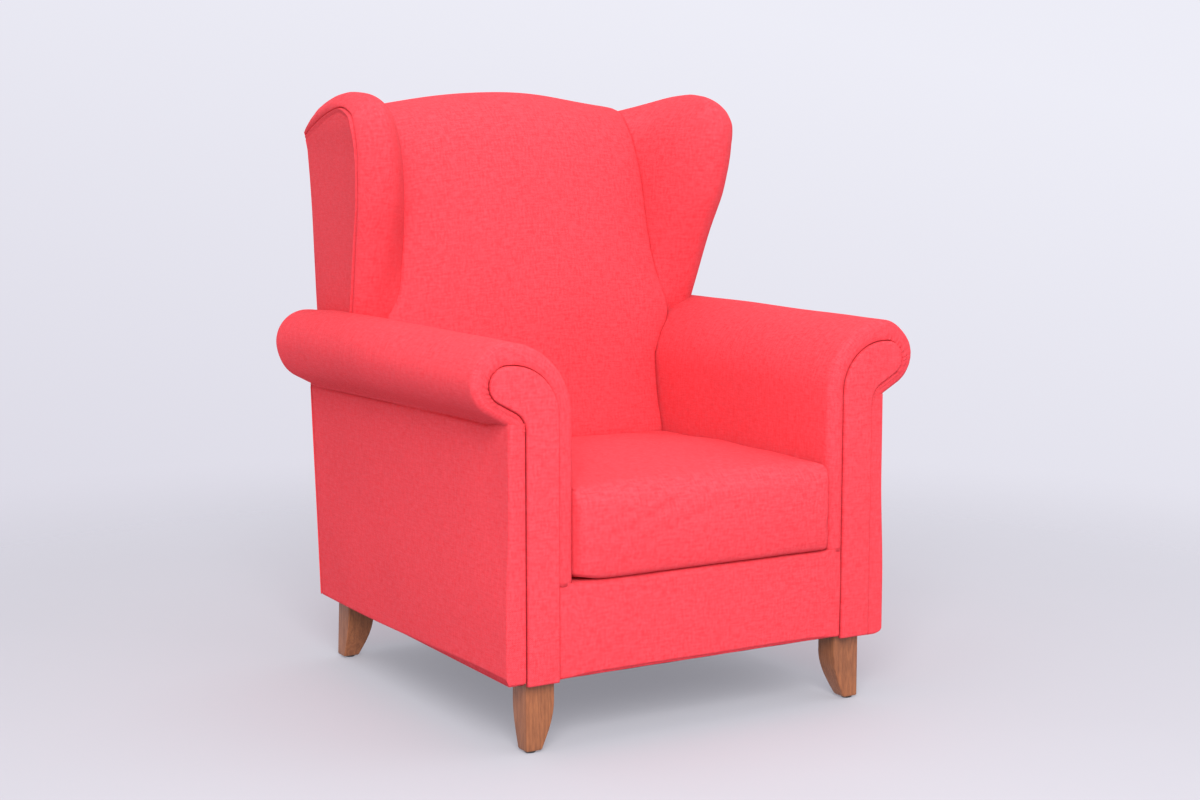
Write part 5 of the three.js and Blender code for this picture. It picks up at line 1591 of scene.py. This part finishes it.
    def groove(self, obj: bpy.types.Object) -> None:
        """Sinks the seams that join the top and the bottom to the boxing."""
        vertices = obj.data.vertices
        points, normals = read(vertices, "co", 3), read(vertices, "normal", 3)
        first, second = read(obj.data.edges, "vertices", 2, np.int32).T
        top_seam, bottom_seam = self.seams
        for seam, is_top in ((top_seam, True), (bottom_seam, False)):
            on_seam = np.zeros(len(points), bool)
            on_seam[seam] = True
            touched = np.bincount(second[on_seam[first]], minlength=len(points))
            touched += np.bincount(first[on_seam[second]], minlength=len(points))
            depth = self.seam_groove * (self.seam_weight(points) if is_top else 1.0)
            points = points - normals * ((on_seam | (touched == 2)) * depth)[:, None]
        vertices.foreach_set("co", points.ravel())
        obj.data.update()

    def zip(self) -> None:
        """The zip in the rear of the boxing: tape, coil and slider."""
        low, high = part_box("cushion_zip")
        y, z = self.rear_y + 0.0006, (low.z + high.z) / 2
        half = (high.x - low.x) / 2
        x, height = np.meshgrid(np.linspace(-half, half, 120), np.linspace(-0.006, 0.006, 9))
        bow = 0.0006 * np.cos(math.pi * height / 0.012) + 0.0002 * np.sin(x / 0.02)
        face = stacked(x, y - 0.0012 + bow, z + height)
        tape = padded_shell("cushion_zip_tape", face, face - (0.0, 0.004, 0.0))
        fit(tape, Fitting(ZIP_TAPE, "zip_tape", Body.SEAT_CUSHION), "cushion_zip")
        teeth = np.arange(-half + 0.004, half - 0.004, 0.0024)
        leans = z + np.where(np.arange(len(teeth)) % 2 == 1, 0.0007, -0.0007)
        coil = small_blocks("cushion_zip_coil", stacked(teeth, y - 0.00005, leans),
                            stacked(np.full(len(teeth), 0.0007), 0.00065, 0.0014))
        fit(coil, Fitting(ZIP_PLASTIC, "zip_tape", Body.SEAT_CUSHION))
        path = np.array([(-half + 0.010, y + 0.0010), (-half + 0.0155, y + 0.0016),
                         (-half + 0.021, y + 0.0010)])
        loop = arc((0.0, 0.0), 1.0, 0.0, 345.0, 24)
        rings = []
        for px, py in resampled(path, 9):
            width = 0.0035 + 0.0010 * math.cos((px + half - 0.0155) / 0.0055 * math.pi / 2)
            rings.append(stacked(px, py + 0.0012 * loop[:, 0], z + width * loop[:, 1]))
        slider = closed_loft("cushion_zip_slider", np.array(rings))
        fit(slider, Fitting(ZINC_STEEL, "zip_tape", Body.SEAT_CUSHION))


# Legs


@dataclass
class Leg:
    """One tapered leg with eased edges."""

    side: Side
    front: bool
    width: float = 0.0505
    depth: float = 0.046
    front_foot: float = 0.028
    rear_foot: float = 0.0295
    front_outer_x: float = 0.3235
    rear_outer_x: float = 0.328
    front_setback: float = 0.022
    rear_setback: float = 0.034
    splay: float = 0.009
    taper_start: float = 0.3
    easing: float = 0.0022
    foot_z: float = 0.0040

    def build(self) -> None:
        """Makes the leg from rounded sections that sweep in towards the foot."""
        s = SIZES
        if self.front:
            where, way, splay, foot, outer_x = "front", 1.0, 0.0, self.front_foot, self.front_outer_x
            start = s.front_y + self.front_setback
        else:
            where, way, splay, foot, outer_x = "rear", -1.0, self.splay, self.rear_foot, self.rear_outer_x
            start = float(s.rear_plane_y(s.leg_height)) - self.rear_setback
        ease = self.easing
        rings = []
        for share in (0.0, *np.linspace(0.004, 0.985, 40), 0.994, 1.0):
            bend = max(0.0, (share - self.taper_start) / (1 - self.taper_start))
            slim = 1.0 - math.cos(bend * math.pi / 2)
            shrink = 0.0008 * max(0.0, (share - 0.985) / 0.015)
            x0, x1 = shrink - self.width - (foot - self.width) * slim, -shrink
            y0, y1 = shrink, self.depth + (foot - self.depth) * slim - shrink
            centres = ((x1 - ease, y0 + ease), (x1 - ease, y1 - ease), (x0 + ease, y1 - ease),
                       (x0 + ease, y0 + ease))
            loop = np.vstack([arc(centre, ease, 90.0 * k - 90.0, 90.0 * k, 6)
                              for k, centre in enumerate(centres)])
            z = s.leg_height + (self.foot_z - s.leg_height) * share
            rings.append(stacked(outer_x + loop[:, 0], start - way * splay * share + way * loop[:, 1], z))
        obj = closed_loft(f"leg_turned_{where}_{self.side.suffix}", mirrored(np.array(rings), self.side))
        obj.data.set_sharp_from_angle(angle=math.radians(50))
        fit(obj, Fitting(LEG_WOOD, "leg_wood"), f"leg_{where}_{self.side.suffix}")


# Frame and studio


NODE_FINISHES: dict[Finish, tuple[str, ...]] = {
    ZINC_STEEL: ("leg_bolt",),
    GLIDE_PLASTIC: ("glide",),
    SPRING_STEEL: ("seat_spring",),
    WEBBING_CLOTH: ("back_webbing",),
    FRAME_WOOD: ("corner_block", "front_seat_rail", "rear_seat_rail", "side_seat_rail", "back_post",
                 "back_tacking_rail", "crest_rail", "arm_stump", "arm_rail", "wing_board"),
    CUSHION_FOAM: ("cushion_core",)}


def dress_frame() -> None:
    """Gives the timber, springs, webbing, bolts and glides their finishes."""
    for name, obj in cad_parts.items():
        for finish, starts in NODE_FINISHES.items():
            if name.startswith(starts):
                dress(obj, finish)


@dataclass(frozen=True)
class Lamp:
    """A square soft light that looks at the chair."""

    name: str
    place: tuple[float, float, float]
    size: float
    power: float
    colour: Colour
    aim: tuple[float, float, float] = (0.0, 0.0, 0.5)

    def build(self) -> None:
        """Hangs the light up."""
        data = bpy.data.lights.new(self.name, "AREA")
        data.energy, data.size, data.color = self.power, self.size, self.colour
        lamp = bpy.data.objects.new(self.name, data)
        lamp.location = self.place
        lamp.rotation_euler = (Vector(self.aim) - Vector(self.place)).to_track_quat("-Z", "Y").to_euler()
        bpy.context.scene.collection.objects.link(lamp)


LAMPS = (Lamp("key_light", (-1.85, -3.4, 2.5), 2.0, 208.0, (1.0, 0.99, 0.975)),
         Lamp("fill_light", (2.6, -2.4, 2.0), 3.0, 22.0, (0.98, 0.985, 1.0)),
         Lamp("top_light", (0.0, 0.2, 3.4), 3.2, 32.0, (1.0, 0.99, 0.985)))


@dataclass(frozen=True)
class Studio:
    """The plain studio: a pale floor that melts into a pale room, soft lights and the camera."""

    camera_place: tuple[float, float, float] = (-1.8382, -3.1634, 0.9793)
    yaw: float = 30.771
    pitch: float = 7.59
    lens: float = 62.55
    floor_colour: Colour = (0.305, 0.300, 0.325)
    # painted light: the floor's glow lightens the chair's cast shadow and stands in for fill light under it
    painted_floor_glow: Colour = (0.235, 0.232, 0.262)
    floor_radius: float = 5.0
    room_light: Colour = (0.97, 0.975, 1.0)
    room_strength: float = 0.88
    room_low: Colour = (0.715, 0.700, 0.785)
    room_high: Colour = (0.85, 0.85, 0.93)

    def floor(self) -> None:
        """A round pale floor whose rim fades into the room."""
        radii = np.concatenate([[0.02], np.linspace(0.2, self.floor_radius, 24)])[:, None]
        angle = np.linspace(0.0, 2.0 * math.pi, 97)[:-1]
        rings = stacked(radii * np.cos(angle), radii * np.sin(angle), 0.0)
        faces: list = rows_to_faces(len(radii), len(angle), True) + [tuple(reversed(range(len(angle))))]
        obj = mesh_object("studio_floor", rings.reshape(-1, 3), faces)

        def build(n: Nodes) -> dict:
            """A pale paint, slightly uneven, that thins out towards the rim, and that glows as painted light
            to lighten the chair's shadow on it.
            """
            place = n.place()
            level = n.mapped(n.noise(place, 1.2, 2.0), 0.3, 0.7, 0.985, 1.015)
            away = n.add("ShaderNodeVectorMath", {0: place}, operation="LENGTH").outputs["Value"]
            return {"Base Color": n.shaded(self.floor_colour, level),
                    "Alpha": n.mapped(away, 0.9, 2.6, 1.0, 0.0, "SMOOTHSTEP")}

        # The emission is painted light: a glow that lifts the chair's shadow on the floor.
        obj.data.materials.append(finish_material("studio_floor_paint", build, 0.0, {
            "Roughness": 0.8, "Specular IOR Level": 0.1, "Emission Color": (*self.painted_floor_glow, 1.0),
            "Emission Strength": 1.0}))
        obj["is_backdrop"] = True

    def room(self) -> None:
        """The room's even light, and its pale wall where the camera or a gloss sees it."""
        world = bpy.data.worlds.new("studio_air")
        world.use_nodes = True
        n = Nodes(world.node_tree)
        output = n.add("ShaderNodeOutputWorld")
        path = n.add("ShaderNodeLightPath").outputs
        way = n.add("ShaderNodeSeparateXYZ", {0: n.add("ShaderNodeTexCoord").outputs["Generated"]}).outputs
        high = n.mapped(n.plus(way["Z"], n.times(way["X"], 0.30)), -0.12, 0.22, 0.0, 1.0)
        wall = n.mix(high, (*self.room_low, 1.0), (*self.room_high, 1.0))
        seen = n.plus(path["Is Camera Ray"], path["Is Glossy Ray"], clamp=True)
        light = tuple(self.room_strength * value for value in self.room_light)
        air = n.add("ShaderNodeBackground", {"Color": n.mix(seen, (*light, 1.0), wall), "Strength": 1.0})
        n.feed(output, {"Surface": air.outputs[0]})
        bpy.context.scene.world = world

    def camera(self) -> None:
        """The camera at the place and angle of the photograph."""
        data = bpy.data.cameras.new("studio_camera")
        data.lens, data.sensor_width = self.lens, 36.0
        obj = bpy.data.objects.new("studio_camera", data)
        obj.location = self.camera_place
        obj.rotation_euler = (math.radians(90.0 - self.pitch), 0.0, math.radians(-self.yaw))
        bpy.context.scene.collection.objects.link(obj)
        bpy.context.scene.camera = obj

    def build(self) -> None:
        """Sets the whole studio up."""
        bpy.context.scene.view_settings.view_transform = "Standard"
        self.camera()
        self.floor()
        self.room()
        for lamp in LAMPS:
            lamp.build()


def corners(bounds: tuple) -> list[list[float]]:
    """The two corners of a box as plain lists."""
    return [list(map(float, corner)) for corner in bounds]


def main() -> None:
    """Builds the chair and the studio round it."""
    logging.basicConfig(level=logging.INFO, format="%(name)s %(message)s")
    before = corners(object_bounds())
    Studio().build()
    dress_frame()
    for side in Side:
        ScrollArm(side).build()
        Wing(side).build()
        for front in (True, False):
            Leg(side, front).build()
    Back().build()
    SeatBase().build()
    SeatCushion().build()
    {"cad": before, "visual": corners(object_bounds())}


if __name__ == "__main__":
    main()
